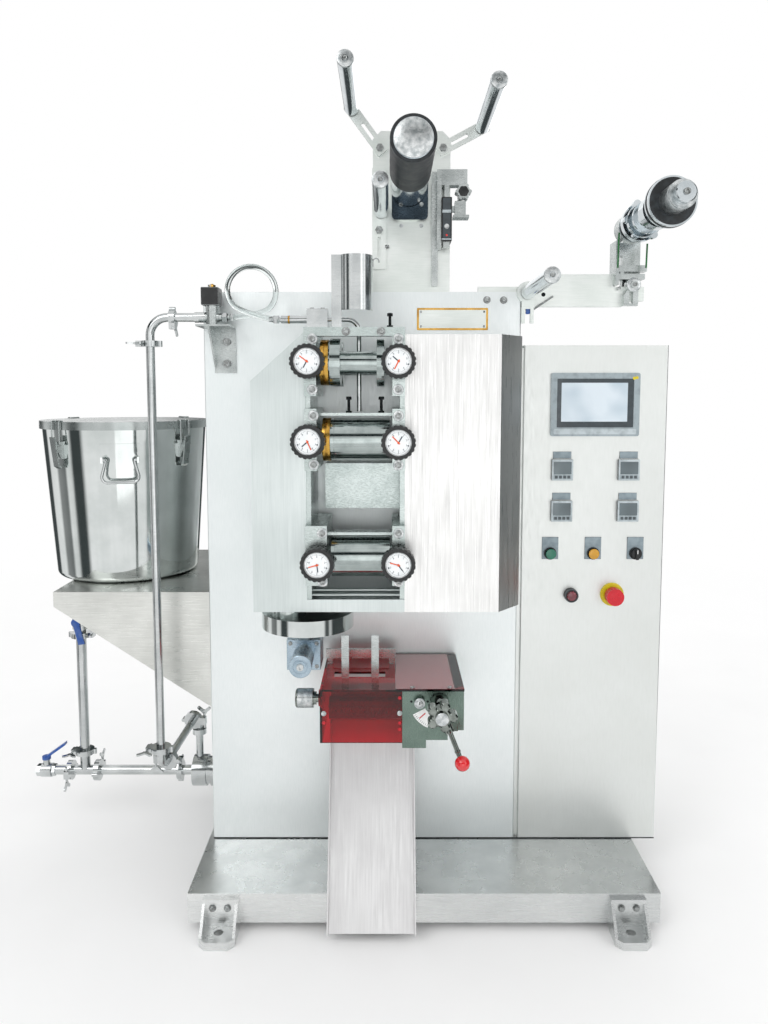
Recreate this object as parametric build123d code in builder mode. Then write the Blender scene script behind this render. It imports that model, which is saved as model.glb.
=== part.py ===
from build123d import *
import os
from math import cos, radians, sin

os.makedirs("parts", exist_ok=True)

# A liquid packing machine. Millimetres. X runs to the operator's right, Y away from the
# operator and Z up. The origin is on the floor, midway between the four anchor bolts.

# Driving dimensions: base and floor anchors
BASE_WIDTH = 1020.0
BASE_DEPTH = 820.0
BASE_UNDERSIDE = 20.0
BASE_TOP = 86.0
ANCHOR_SPACING_X = 876.0
ANCHOR_SPACING_Y = 880.0
ANCHOR_HOLE_R = 10.0

# Driving dimensions: cabinets. FACE is the plane of both front panels.
FACE = -195.0
MAIN_LEFT = -499.0
MAIN_RIGHT = 225.0
MAIN_BACK = 365.0
MAIN_TOP = 1388.0
CONTROL_LEFT = 234.0
CONTROL_RIGHT = 565.0
CONTROL_BACK = 225.0
CONTROL_TOP = 1268.0

# Driving dimensions: guards either side of the sealing window
GUARD_FRONT = -375.0
GUARD_BOTTOM = 695.0
LEFT_GUARD_OUTER = -364.0
WINDOW_LEFT = -250.0
WINDOW_RIGHT = -43.0
RIGHT_GUARD_OUTER = 209.0

# Driving dimensions: the three sealing stations, axes along X
NIP_Y = -315.0
BLOCK_FRONT = -400.0
SHAFT_R = 10.0
RUNNING_GAP = 0.05
TOP_AXIS_Z = 1222.0
MIDDLE_AXIS_Z = 1062.0
LOWER_AXIS_Z = 812.0
DISC_R = 49.0
DISC_HALF_SPACING = 50.0
DRUM_R = 42.0
DRUM_HALF_SPACING = 42.5

# Driving dimensions: dial handwheels
WHEEL_R = 35.0
WHEEL_FRONT = -450.0
WHEEL_THICK = 26.0
STEM_R = 6.0

# Driving dimensions: film path above the cabinet, axes along Y
ROLLER_R = 16.0
ROLLER_FRONT = -475.0
PIN_R = 6.0
ARM_THICK = 8.0
FILM_AXIS = (-32.0, 1615.0)
REEL_AXIS = (478.0, 1533.0)

# Driving dimensions: tank, its shelf and the pipework
TANK_X = -778.0
TANK_Y = 95.0
TANK_BOTTOM = 685.0
TANK_TOP = 1083.0
TANK_BOTTOM_R = 180.0
TANK_TOP_R = 208.0
TANK_WALL = 3.0
TANK_TURN = 14.0
RISER_R = 9.5
SUCTION_R = 12.5
SUCTION_Y = 5.0
SUCTION_Z = 161.0

# Driving dimensions: cutter and discharge chute
CUTTER_FRONT = -419.0
CUTTER_TOP = 541.0
COVER_BOTTOM = 426.0
COVER_LEFT = -221.0
COVER_RIGHT = -48.0
GEARBOX_RIGHT = 82.0
CHUTE_MIDDLE = -113.0
CHUTE_WIDTH = 188.0
KNOB_AXIS = (29.0, 517.0)


def slab(x, y, z, mode=Mode.ADD):
    """A rectangular block between two limits on each axis."""
    middle = tuple((low + high) / 2 for low, high in (x, y, z))
    with Locations(middle):
        Box(x[1] - x[0], y[1] - y[0], z[1] - z[0], mode=mode)


def rod_x(x, centre, radius, mode=Mode.ADD):
    """A round bar along X between two limits, centred on (y, z)."""
    with Locations(Plane(origin=(x[0], centre[0], centre[1]), z_dir=(1, 0, 0))):
        Cylinder(radius, x[1] - x[0], align=(Align.CENTER, Align.CENTER, Align.MIN), mode=mode)


def rod_y(y, centre, radius, mode=Mode.ADD):
    """A round bar along Y between two limits, centred on (x, z)."""
    with Locations(Plane(origin=(centre[0], y[0], centre[1]), z_dir=(0, 1, 0))):
        Cylinder(radius, y[1] - y[0], align=(Align.CENTER, Align.CENTER, Align.MIN), mode=mode)


def rod_z(z, centre, radius, mode=Mode.ADD):
    """A round bar along Z between two limits, centred on (x, y)."""
    with Locations((centre[0], centre[1], z[0])):
        Cylinder(radius, z[1] - z[0], align=(Align.CENTER, Align.CENTER, Align.MIN), mode=mode)


def plate(plane, points, thickness, mode=Mode.ADD):
    """A flat plate with a straight-sided outline, raised along the plane's normal."""
    with BuildSketch(plane) as outline:
        with BuildLine():
            Polyline(*points, close=True)
        make_face()
    extrude(outline.sketch, amount=thickness, mode=mode)


def front_plane(y):
    """A plane facing the operator at depth y: its own x is X and its own y is Z."""
    return Plane.XZ.offset(-y)


def swept_bar(points, radii, section_r):
    """A round bar along straight runs joined by tangent arcs. Returns the path's length."""
    with BuildLine() as route:
        FilletPolyline(*points, radius=radii)
    line = route.line
    with BuildSketch(Plane(origin=line @ 0, z_dir=line % 0)) as section:
        Circle(section_r)
    sweep(section.sketch, path=line)
    return sum(edge.length for edge in route.edges())


def tri_clamp(centre, axis, side, ring_r):
    """A hinged clamp ring round a pipe joint, with its hinge, bolt and wing nut."""
    ring = Plane(origin=centre, x_dir=side, z_dir=axis)
    with BuildSketch(ring) as band:
        Circle(ring_r)
        with Locations((-ring_r - 2, 0)):
            Circle(5)
        with Locations((ring_r + 3, 0)):
            Rectangle(14, 20)
    extrude(band.sketch, amount=6.5, both=True)
    bolt_at = Vector(*centre) + Vector(*side) * (ring_r + 6)
    along = Vector(*axis).cross(Vector(*side))
    with Locations(Plane(origin=bolt_at, z_dir=along)):
        Cylinder(3, 44)
    with BuildSketch(Plane(origin=bolt_at + along * 24, x_dir=along, z_dir=axis)) as wings:
        Rectangle(10, 12)
        for wing in (-1, 1):
            with Locations((6, wing * 9)):
                SlotCenterToCenter(12, 8, rotation=wing * 50)
    extrude(wings.sketch, amount=2.0, both=True)


# Base: a closed folded-sheet plinth
with BuildPart() as base_plinth:
    slab((-BASE_WIDTH / 2, BASE_WIDTH / 2), (-BASE_DEPTH / 2, BASE_DEPTH / 2), (BASE_UNDERSIDE, BASE_TOP))
    chamfer(base_plinth.edges().filter_by(Axis.Z), 2)
base_plinth.part.label = "base_plinth"
export_step(base_plinth.part, "parts/base_plinth.step")

# Anchor feet: an angle with two gussets at each corner, bolted to the floor
FOOT_WIDTH = 76.0
FOOT_REACH = 62.0
FOOT_PLATE = 18.0
FOOT_UPRIGHT = 78.0
FOOT_WALL = 10.0
FOOT_TOE = 14.0
GUSSET = 6.0
with BuildPart() as anchor_feet:
    for side in (-1, 1):
        for end in (-1, 1):
            middle = side * ANCHOR_SPACING_X / 2
            wall = end * BASE_DEPTH / 2
            across = (middle - FOOT_WIDTH / 2, middle + FOOT_WIDTH / 2)
            slab(across, sorted((wall, wall + end * FOOT_WALL)), (0, FOOT_UPRIGHT))
            toe = wall + end * FOOT_REACH
            heel = toe - end * FOOT_TOE
            outline = [
                (across[0], wall),
                (across[0], heel),
                (across[0] + FOOT_TOE, toe),
                (across[1] - FOOT_TOE, toe),
                (across[1], heel),
                (across[1], wall),
            ]
            plate(Plane.XY, outline, FOOT_PLATE)
            for edge in (across[0], across[1] - GUSSET):
                shape = [
                    (wall + end * FOOT_WALL, FOOT_PLATE),
                    (wall + end * FOOT_WALL, FOOT_UPRIGHT - 8),
                    (wall + end * (FOOT_REACH - 14), FOOT_PLATE),
                ]
                plate(Plane.YZ.offset(edge), shape, GUSSET)
            anchor = (middle, end * ANCHOR_SPACING_Y / 2)
            rod_z((0, FOOT_PLATE), anchor, ANCHOR_HOLE_R, Mode.SUBTRACT)
anchor_feet.part.label = "anchor_feet"
export_step(anchor_feet.part, "parts/anchor_feet.step")

# Main cabinet: a closed housing
with BuildPart() as main_cabinet:
    slab((MAIN_LEFT, MAIN_RIGHT), (FACE, MAIN_BACK), (BASE_TOP, MAIN_TOP))
    chamfer(main_cabinet.edges().filter_by(Axis.Z), 2)
main_cabinet.part.label = "main_cabinet"
export_step(main_cabinet.part, "parts/main_cabinet.step")

# Control cabinet: a closed housing with a recessed joint strip on its left side
BUTTON_BORE_R = 8.05
STOP_BORE_R = 11.05
BORE_DEPTH = 13.0
STOP_AT = (448.0, 688.0)
START_AT = (301.0, 786.0)
PAUSE_AT = (401.0, 786.0)
SELECTOR_AT = (500.0, 786.0)
JOINT_RECESS = 6.0
with BuildPart() as control_cabinet:
    slab((CONTROL_LEFT, CONTROL_RIGHT), (FACE, CONTROL_BACK), (BASE_TOP, CONTROL_TOP))
    chamfer(control_cabinet.edges().filter_by(Axis.Z), 2)
    slab(
        (MAIN_RIGHT, CONTROL_LEFT),
        (FACE + JOINT_RECESS, CONTROL_BACK - JOINT_RECESS),
        (BASE_TOP, CONTROL_TOP - JOINT_RECESS),
    )
    for centre in (START_AT, PAUSE_AT, SELECTOR_AT):
        rod_y((FACE, FACE + BORE_DEPTH), centre, BUTTON_BORE_R, Mode.SUBTRACT)
    rod_y((FACE, FACE + BORE_DEPTH), STOP_AT, STOP_BORE_R, Mode.SUBTRACT)
control_cabinet.part.label = "control_cabinet"
export_step(control_cabinet.part, "parts/control_cabinet.step")

# Left guard: a flat-fronted housing with its upper outer corner cut away
with BuildPart() as left_guard:
    outline = [
        (LEFT_GUARD_OUTER, GUARD_BOTTOM),
        (WINDOW_LEFT, GUARD_BOTTOM),
        (WINDOW_LEFT, 1286.0),
        (LEFT_GUARD_OUTER, 1184.0),
    ]
    plate(front_plane(FACE), outline, FACE - GUARD_FRONT)
left_guard.part.label = "left_guard"
export_step(left_guard.part, "parts/left_guard.step")

# Right guard: a housing whose right side is turned back by a wide bevel
with BuildPart() as right_guard:
    outline = [
        (WINDOW_RIGHT, FACE),
        (WINDOW_RIGHT, GUARD_FRONT),
        (157.0, GUARD_FRONT),
        (RIGHT_GUARD_OUTER, -315.0),
        (RIGHT_GUARD_OUTER, FACE),
    ]
    plate(Plane.XY.offset(GUARD_BOTTOM), outline, 1280.0 - GUARD_BOTTOM)
right_guard.part.label = "right_guard"
export_step(right_guard.part, "parts/right_guard.step")

# Window floor: a folded lip between the guards, two guide rails and the film guide plate
LIP_TOP = 722.0
SHEET = 3.0
FRAME_LEFT = WINDOW_LEFT + 10.0
FRAME_RIGHT = WINDOW_RIGHT - 10.0
with BuildPart() as guard_tray:
    slab((WINDOW_LEFT, WINDOW_RIGHT), (GUARD_FRONT, GUARD_FRONT + SHEET), (GUARD_BOTTOM, LIP_TOP))
    slab((WINDOW_LEFT, WINDOW_RIGHT), (GUARD_FRONT, FACE), (GUARD_BOTTOM, GUARD_BOTTOM + SHEET))
    for rail in ((-358.0, 728.0), (-340.0, 734.0)):
        rod_x((FRAME_LEFT, FRAME_RIGHT), rail, 4.0)
guard_tray.part.label = "guard_tray"
export_step(guard_tray.part, "parts/guard_tray.step")

# Dial handwheel axes (x, z) and the bearing blocks behind them
WHEELS = {
    "dial_wheel_top_left": (-239.0, 1222.0),
    "dial_wheel_top_right": (-57.0, 1222.0),
    "dial_wheel_middle_left": (-239.0, 1062.0),
    "dial_wheel_middle_right": (-57.0, 1060.0),
    "dial_wheel_lower_left": (-222.0, 812.0),
    "dial_wheel_lower_right": (-57.0, 812.0),
}
LEFT_BLOCK = (WINDOW_LEFT, -225.0)
LOWER_LEFT_BLOCK = (WINDOW_LEFT, -205.0)
RIGHT_BLOCK = (-69.0, WINDOW_RIGHT)
BLOCK_HEIGHTS = ((1153.0, 1283.0), (999.0, 1127.0), (758.0, 884.0))
BLOCK_BACK = -225.0
STEM_BORE = 15.0
STATIONS = (
    (TOP_AXIS_Z, DISC_HALF_SPACING),
    (MIDDLE_AXIS_Z, DRUM_HALF_SPACING),
    (LOWER_AXIS_Z, DRUM_HALF_SPACING),
)

# Station frames: two side plates with bearing blocks, a tie beam and two scraper bars
with BuildPart() as station_frames:
    slab((WINDOW_LEFT, FRAME_LEFT), (-372.0, FACE), (722.0, 1283.0))
    slab((FRAME_RIGHT, WINDOW_RIGHT), (-372.0, FACE), (722.0, 1283.0))
    for height in BLOCK_HEIGHTS:
        left = LOWER_LEFT_BLOCK if height[0] < 800 else LEFT_BLOCK
        slab(left, (BLOCK_FRONT, BLOCK_BACK), height)
        slab(RIGHT_BLOCK, (BLOCK_FRONT, BLOCK_BACK), height)
    slab((WINDOW_LEFT, WINDOW_RIGHT), (-398.0, -374.0), (1275.0, 1293.0))
    slab((-230.0, -60.0), (-372.0, -354.0), (1112.0, 1118.0))
    slab((-210.0, -60.0), (-372.0, -352.0), (860.0, 866.0))
    guide_left = -218.0
    guide_front = -262.0
    slab((guide_left, FRAME_RIGHT), (guide_front, guide_front + SHEET), (905.0, 1000.0))
    slab((guide_left, FRAME_RIGHT), (guide_front, FACE), (1000.0, 1000.0 + SHEET))
    slab((guide_left, FRAME_RIGHT), (guide_front, FACE), (905.0 - SHEET, 905.0))
    for station_z, half_spacing in STATIONS:
        for offset in (-half_spacing, half_spacing):
            at = (NIP_Y + offset, station_z)
            rod_x((WINDOW_LEFT, WINDOW_RIGHT), at, SHAFT_R + RUNNING_GAP, Mode.SUBTRACT)
    for centre in WHEELS.values():
        rod_y((BLOCK_FRONT, BLOCK_FRONT + STEM_BORE), centre, STEM_R + RUNNING_GAP, Mode.SUBTRACT)
station_frames.part.label = "station_frames"
export_step(station_frames.part, "parts/station_frames.step")

# Sealing rollers: (name, first profile). Each profile lists (start x, end x, radius).
SHAFT_ENDS = (-246.0, -47.0)
TOP_FRONT = ((-217.0, -200.0, 46.5), (-197.0, -176.0, DISC_R), (-101.0, -86.0, DISC_R), (-217.0, -80.0, 24.0))
MIDDLE_FRONT = ((-214.0, -198.0, 45.0), (-197.0, -190.0, DRUM_R), (-189.0, -74.0, DRUM_R), (-214.0, -74.0, 36.0))
MIDDLE_REAR = ((-214.0, -198.0, 35.0), (-197.0, -190.0, DRUM_R), (-189.0, -74.0, DRUM_R), (-214.0, -74.0, 34.0))
LOWER = ((-197.0, -190.0, DRUM_R), (-189.0, -74.0, DRUM_R), (-197.0, -74.0, 36.0))
ROLLERS = (
    ("top_roller_front", NIP_Y - DISC_HALF_SPACING, TOP_AXIS_Z, TOP_FRONT),
    ("top_roller_rear", NIP_Y + DISC_HALF_SPACING, TOP_AXIS_Z, TOP_FRONT),
    ("middle_roller_front", NIP_Y - DRUM_HALF_SPACING, MIDDLE_AXIS_Z, MIDDLE_FRONT),
    ("middle_roller_rear", NIP_Y + DRUM_HALF_SPACING, MIDDLE_AXIS_Z, MIDDLE_REAR),
    ("lower_roller_front", NIP_Y - DRUM_HALF_SPACING, LOWER_AXIS_Z, LOWER),
    ("lower_roller_rear", NIP_Y + DRUM_HALF_SPACING, LOWER_AXIS_Z, LOWER),
)
for name, axis_y, axis_z, profile in ROLLERS:
    with BuildPart() as roller:
        rod_x(SHAFT_ENDS, (axis_y, axis_z), SHAFT_R)
        for start, stop, radius in profile:
            rod_x((start, stop), (axis_y, axis_z), radius)
    roller.part.label = name
    export_step(roller.part, f"parts/{name}.step")

# Dial handwheels: scalloped rim, recessed dial, boss and stem
SCALLOPS = 20
SCALLOP_R = 3.4
DIAL_R = 27.0
DIAL_DEPTH = 3.0
for name, centre in WHEELS.items():
    hub = Plane(origin=(centre[0], WHEEL_FRONT + WHEEL_THICK, centre[1]), x_dir=(1, 0, 0), z_dir=(0, -1, 0))
    with BuildPart() as wheel:
        with BuildSketch(hub):
            Circle(WHEEL_R)
            with PolarLocations(WHEEL_R + 1.6, SCALLOPS):
                Circle(SCALLOP_R, mode=Mode.SUBTRACT)
        extrude(amount=WHEEL_THICK)
        rod_y((WHEEL_FRONT, WHEEL_FRONT + DIAL_DEPTH), centre, DIAL_R, Mode.SUBTRACT)
        rod_y((WHEEL_FRONT + WHEEL_THICK, BLOCK_FRONT - 6), centre, 16.0)
        rod_y((BLOCK_FRONT - 6, BLOCK_FRONT + STEM_BORE - 1), centre, STEM_R)
    wheel.part.label = name
    export_step(wheel.part, f"parts/{name}.step")

# Guide roller axes (x, z), and where the two slotted links are bolted
GUIDES = {
    "guide_roller_upper_left": (-159.0, 1787.0),
    "guide_roller_upper_right": (132.0, 1748.0),
    "guide_roller_middle": (-93.0, 1565.0),
    "guide_roller_arm": (239.0, 1386.0),
}
LINK_ROOTS = {"guide_roller_upper_left": (-96.0, 1703.0), "guide_roller_upper_right": (45.0, 1703.0)}
LINK_HALF = 13.0

# Upright film plate with its foot flange and the film spindle's flange
FILM_PLATE_THICK = 12.0
SPINDLE_BORE_R = 12.55
FLANGE_WIDTH = 82.0
FLANGE_Z = (1546.0, 1662.0)
FLANGE_FRONT = FACE - 10.0
with BuildPart() as film_plate:
    outline = [
        (-112.0, MAIN_TOP),
        (62.0, MAIN_TOP),
        (62.0, 1724.0),
        (44.0, 1742.0),
        (-94.0, 1742.0),
        (-112.0, 1724.0),
    ]
    plate(front_plane(FACE + FILM_PLATE_THICK), outline, FILM_PLATE_THICK)
    slab((-112.0, 62.0), (FACE + FILM_PLATE_THICK, FACE + 48), (MAIN_TOP, MAIN_TOP + 8))
    for guide, root in LINK_ROOTS.items():
        run = Vector(*GUIDES[guide]) - Vector(*root)
        at = Plane(origin=(root[0], FACE, root[1]), x_dir=(run.X, 0, run.Y), z_dir=(0, -1, 0))
        with BuildSketch(at) as link:
            with Locations((run.length / 2, 0)):
                RectangleRounded(run.length + LINK_HALF * 2, LINK_HALF * 2, 2)
            with Locations((run.length * 0.42, 0)):
                SlotCenterToCenter(run.length * 0.36, 8, mode=Mode.SUBTRACT)
        extrude(amount=ARM_THICK)
    with BuildSketch(front_plane(FACE)):
        with Locations((-98.0, 1550.0)):
            RectangleRounded(31, 225, 6)
        with Locations((-98.0, 1480.0)):
            SlotCenterToCenter(50, 8, rotation=90, mode=Mode.SUBTRACT)
    extrude(amount=ARM_THICK)
    for guide in ("guide_roller_upper_left", "guide_roller_upper_right", "guide_roller_middle"):
        rod_y((FACE - ARM_THICK, FACE), GUIDES[guide], PIN_R + RUNNING_GAP, Mode.SUBTRACT)
    with BuildSketch(front_plane(FACE)):
        with Locations((FILM_AXIS[0], sum(FLANGE_Z) / 2)):
            RectangleRounded(FLANGE_WIDTH, FLANGE_Z[1] - FLANGE_Z[0], 28)
    extrude(amount=FACE - FLANGE_FRONT)
    rod_y((FLANGE_FRONT, FACE + FILM_PLATE_THICK), FILM_AXIS, SPINDLE_BORE_R, Mode.SUBTRACT)
film_plate.part.label = "film_plate"
export_step(film_plate.part, "parts/film_plate.step")

# Film spindle: steel core, rubber sleeve and end disc
SLEEVE_BACK = -345.0
with BuildPart() as film_spindle:
    rod_y((FLANGE_FRONT - 6, FACE + FILM_PLATE_THICK - 1), FILM_AXIS, SPINDLE_BORE_R - RUNNING_GAP)
    rod_y((SLEEVE_BACK, FLANGE_FRONT - 5), FILM_AXIS, 40.0)
    rod_y((-561.0, SLEEVE_BACK), FILM_AXIS, 42.5)
    rod_y((-565.0, -561.0), FILM_AXIS, 36.0)
film_spindle.part.label = "film_spindle"
export_step(film_spindle.part, "parts/film_spindle.step")

# Guide rollers: plain tubes turning on a pin
for name, centre in GUIDES.items():
    with BuildPart() as guide:
        rod_y((ROLLER_FRONT, FACE - ARM_THICK - 5), centre, ROLLER_R)
        rod_y((FACE - ARM_THICK - 5, FACE - 1), centre, PIN_R)
    guide.part.label = name
    export_step(guide.part, f"parts/{name}.step")

# Photo-eye: a slide rail with its carriage, sensor and clamp knob
with BuildPart() as photo_eye:
    slab((20.0, 34.0), (FACE - 14, FACE), (1400.0, 1650.0))
    slab((30.0, 40.0), (FACE - 40, FACE - 6), (1480.0, 1648.0))
    slab((34.0, 97.0), (FACE - 34, FACE - 6), (1616.0, 1650.0))
    slab((40.0, 62.0), (FACE - 48, FACE - 14), (1493.0, 1587.0))
    slab((46.0, 56.0), (FACE - 44, FACE - 18), (1587.0, 1616.0))
    slab((44.0, 58.0), (FACE - 42, FACE - 20), (1481.0, 1493.0))
    slab((70.0, 94.0), (FACE - 34, FACE - 12), (1551.0, 1582.0))
    slab((66.0, 101.0), (FACE - 40, FACE - 8), (1545.0, 1551.0))
    slab((60.0, 72.0), (FACE - 30, FACE - 16), (1560.0, 1572.0))
    with BuildSketch(Plane(origin=(88.0, FACE - 20, 1600.0), x_dir=(1, 0, 0), z_dir=(0, -1, 0))):
        Circle(14)
        with PolarLocations(14, 6):
            Circle(4)
    extrude(amount=26)
    rod_z((1582.0, 1616.0), (82.0, FACE - 14), 5.0)
photo_eye.part.label = "photo_eye"
export_step(photo_eye.part, "parts/photo_eye.step")

# Side arm: the plate that carries the ribbon reel to the right of the cabinet
ARM_FRONT = -192.0
ARM_BACK = -180.0
with BuildPart() as arm_plate:
    outline = [
        (127.0, MAIN_TOP),
        (MAIN_RIGHT, MAIN_TOP),
        (MAIN_RIGHT, 1355.0),
        (455.0, 1355.0),
        (470.0, 1368.0),
        (505.0, 1368.0),
        (505.0, 1400.0),
        (434.0, 1400.0),
        (434.0, 1428.0),
        (287.0, 1428.0),
        (MAIN_RIGHT, 1400.0),
        (127.0, 1400.0),
    ]
    plate(front_plane(ARM_BACK), outline, ARM_BACK - ARM_FRONT)
    arm_end = GUIDES["guide_roller_arm"]
    with BuildSketch(front_plane(FACE)):
        with Locations(arm_end):
            Circle(25)
        with Locations((arm_end[0], 1346.0)):
            Rectangle(28, 58)
        with Locations((arm_end[0], 1332.0)):
            Rectangle(12, 34, mode=Mode.SUBTRACT)
    extrude(amount=ARM_THICK)
    slab((228.0, 252.0), (FACE, ARM_FRONT), (1356.0, 1376.0))
    rod_y((FACE - ARM_THICK, FACE), arm_end, PIN_R + RUNNING_GAP, Mode.SUBTRACT)
arm_plate.part.label = "arm_plate"
export_step(arm_plate.part, "parts/arm_plate.step")

# Reel bracket: post, bearing housing, side strap, cross bars and a small fixed roller
REEL_BORE_R = 12.05
with BuildPart() as reel_bracket:
    slab((458.0, 498.0), (ARM_BACK, ARM_BACK + 20), (1368.0, 1520.0))
    rod_y((-192.0, -152.0), REEL_AXIS, 34.0)
    slab((434.0, 442.0), (-212.0, -160.0), (1402.0, 1500.0))
    slab((434.0, 500.0), (-212.0, -180.0), (1414.0, 1426.0))
    slab((440.0, 470.0), (-180.0, -160.0), (1470.0, 1500.0))
    slab((442.0, 506.0), (-206.0, -180.0), (1432.0, 1446.0))
    slab((446.0, 454.0), (-206.0, -180.0), (1426.0, 1432.0))
    rod_y((-214.0, -192.0), (475.0, 1402.0), 16.0)
    rod_y((-222.0, -214.0), (475.0, 1402.0), 8.0)
    plate(front_plane(ARM_FRONT), [(455.0, 1360.0), (466.0, 1360.0), (466.0, 1396.0), (455.0, 1380.0)], 18.0)
    plate(front_plane(ARM_FRONT), [(476.0, 1360.0), (488.0, 1360.0), (488.0, 1396.0), (476.0, 1396.0)], 14.0)
    slab((455.0, 488.0), (-204.0, ARM_FRONT), (1356.0, 1362.0))
    rod_y((-192.0, -152.0), REEL_AXIS, REEL_BORE_R, Mode.SUBTRACT)
reel_bracket.part.label = "reel_bracket"
export_step(reel_bracket.part, "parts/reel_bracket.step")

# Ribbon spindle: (back y, front y, radius) steps from the bearing to the tip
REEL_STEPS = (
    (-154.0, -197.0, 12.0),
    (-197.0, -232.0, 30.0),
    (-232.0, -250.0, 42.0),
    (-250.0, -418.0, 30.0),
    (-418.0, -440.0, 49.0),
    (-440.0, -497.0, 27.5),
    (-497.0, -515.0, 20.0),
)
LOBES = 6
with BuildPart() as ribbon_spindle:
    for back, front, radius in REEL_STEPS:
        rod_y((front, back), REEL_AXIS, radius)
    rod_y((-300.0, -292.0), REEL_AXIS, 35.0)
    rod_y((-372.0, -340.0), REEL_AXIS, 37.0)
    with BuildSketch(front_plane(-262.0)):
        with Locations(REEL_AXIS):
            Circle(38)
            with PolarLocations(38, LOBES):
                Circle(8)
    extrude(amount=14)
    chamfer(ribbon_spindle.edges().filter_by(GeomType.CIRCLE).group_by(Axis.Y)[0], 2)
ribbon_spindle.part.label = "ribbon_spindle"
export_step(ribbon_spindle.part, "parts/ribbon_spindle.step")

# Film former: a half-round collar on an upright bar that stands on the left frame
FORMER_AT = (-146.0, NIP_Y)
FORMER_R = 36.0
FORMER_Z = (1333.0, 1448.0)
with BuildPart() as film_former:
    with BuildSketch(Plane.XY.offset(FORMER_Z[0])):
        with BuildLine():
            CenterArc(FORMER_AT, FORMER_R, 180, 180)
            Line((FORMER_AT[0] - FORMER_R, NIP_Y), (FORMER_AT[0] - FORMER_R + SHEET, NIP_Y))
            CenterArc(FORMER_AT, FORMER_R - SHEET, 180, 180)
            Line((FORMER_AT[0] + FORMER_R, NIP_Y), (FORMER_AT[0] + FORMER_R - SHEET, NIP_Y))
        make_face()
    extrude(amount=FORMER_Z[1] - FORMER_Z[0])
    slab((-197.0, -176.0), (-334.0, -322.0), (1283.0, FORMER_Z[1]))
    slab((WINDOW_LEFT, -176.0), (-334.0, -300.0), (1283.0, 1293.0))
film_former.part.label = "film_former"
export_step(film_former.part, "parts/film_former.step")

# Filling tube: clamp block, sleeve and a bent tube running down between the rollers
TUBE_R = 5.0
TUBE_Z = 1315.0
TUBE_X = -140.0
with BuildPart() as filling_tube:
    slab((WINDOW_LEFT, -206.0), (NIP_Y - 15, NIP_Y + 15), (1293.0, 1337.0))
    rod_x((-306.0, WINDOW_LEFT), (NIP_Y, TUBE_Z), 8.0)
    route = [(-206.0, NIP_Y, TUBE_Z), (TUBE_X, NIP_Y, TUBE_Z), (TUBE_X, NIP_Y, 1120.0)]
    swept_bar(route, 25.0, TUBE_R)
    rod_x((-331.0, -306.0), (NIP_Y, TUBE_Z), TUBE_R)
filling_tube.part.label = "filling_tube"
export_step(filling_tube.part, "parts/filling_tube.step")

# Solenoid bracket: back plate, shelf and one gusset
VALVE_Y = -245.0
SHELF_Z = 1309.0
with BuildPart() as solenoid_bracket:
    slab((-474.0, -425.0), (FACE - 4, FACE), (1205.0, SHELF_Z))
    slab((-499.0, -425.0), (-275.0, FACE), (SHELF_Z - 4, SHELF_Z))
    gusset = [(FACE - 4, 1215.0), (FACE - 4, SHELF_Z - 4), (-268.0, SHELF_Z - 4)]
    plate(Plane.YZ.offset(-474.0), gusset, 4.0)
    with BuildSketch(front_plane(FACE)):
        with Locations((-446.0, 1275.0), (-446.0, 1226.0)):
            SlotCenterToCenter(16, 8, mode=Mode.ADD)
    extrude(amount=4.0, mode=Mode.SUBTRACT)
solenoid_bracket.part.label = "solenoid_bracket"
export_step(solenoid_bracket.part, "parts/solenoid_bracket.step")

# Solenoid valve: body, coil, nut and the outlet fitting
VALVE_Z = 1326.0
with BuildPart() as solenoid_valve:
    rod_z((SHELF_Z, 1352.0), (-467.0, VALVE_Y), 15.0)
    rod_x((-482.0, -452.0), (VALVE_Y, VALVE_Z), 11.0)
    slab((-488.0, -450.0), (VALVE_Y - 19, VALVE_Y + 19), (1352.0, 1390.0))
    rod_z((1390.0, 1397.0), (-469.0, VALVE_Y), 7.0)
    rod_x((-452.0, -434.0), (VALVE_Y, VALVE_Z), 9.0)
    rod_x((-434.0, -422.0), (VALVE_Y, VALVE_Z), 5.0)
solenoid_valve.part.label = "solenoid_valve"
export_step(solenoid_valve.part, "parts/solenoid_valve.step")

# Clear hose: one standing loop from the valve to the filling tube
HOSE_R = 6.0
LOOP_AT = (-374.0, 1382.0)
LOOP_R = 50.0
LOOP_TURNS = 8
corner_r = LOOP_R / cos(radians(22.5))
hose_points = [(-430.0, VALVE_Y, VALVE_Z)]
for step in range(LOOP_TURNS):
    turn = radians(-67.5 + 45 * step)
    depth = VALVE_Y - 4 - step * 7.6
    hose_points.append((LOOP_AT[0] + corner_r * cos(turn), depth, LOOP_AT[1] + corner_r * sin(turn)))
hose_points.append((-322.0, NIP_Y, TUBE_Z))
hose_radii = []
for before, corner, after in zip(hose_points, hose_points[1:], hose_points[2:]):
    run_in = Vector(*corner) - Vector(*before)
    run_out = Vector(*after) - Vector(*corner)
    half = radians(run_in.get_angle(run_out) / 2)
    hose_radii.append(0.45 * min(run_in.length, run_out.length) * cos(half) / sin(half))
with BuildPart() as clear_hose:
    hose_length = swept_bar(hose_points, hose_radii, HOSE_R)
print("hose radii", [round(value, 1) for value in hose_radii])
print("hose length", round(hose_length, 1), "volume", round(clear_hose.part.volume))
print("section times length", round(hose_length * 3.14159265 * HOSE_R**2))
clear_hose.part.label = "clear_hose"
export_step(clear_hose.part, "parts/clear_hose.step")

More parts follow.
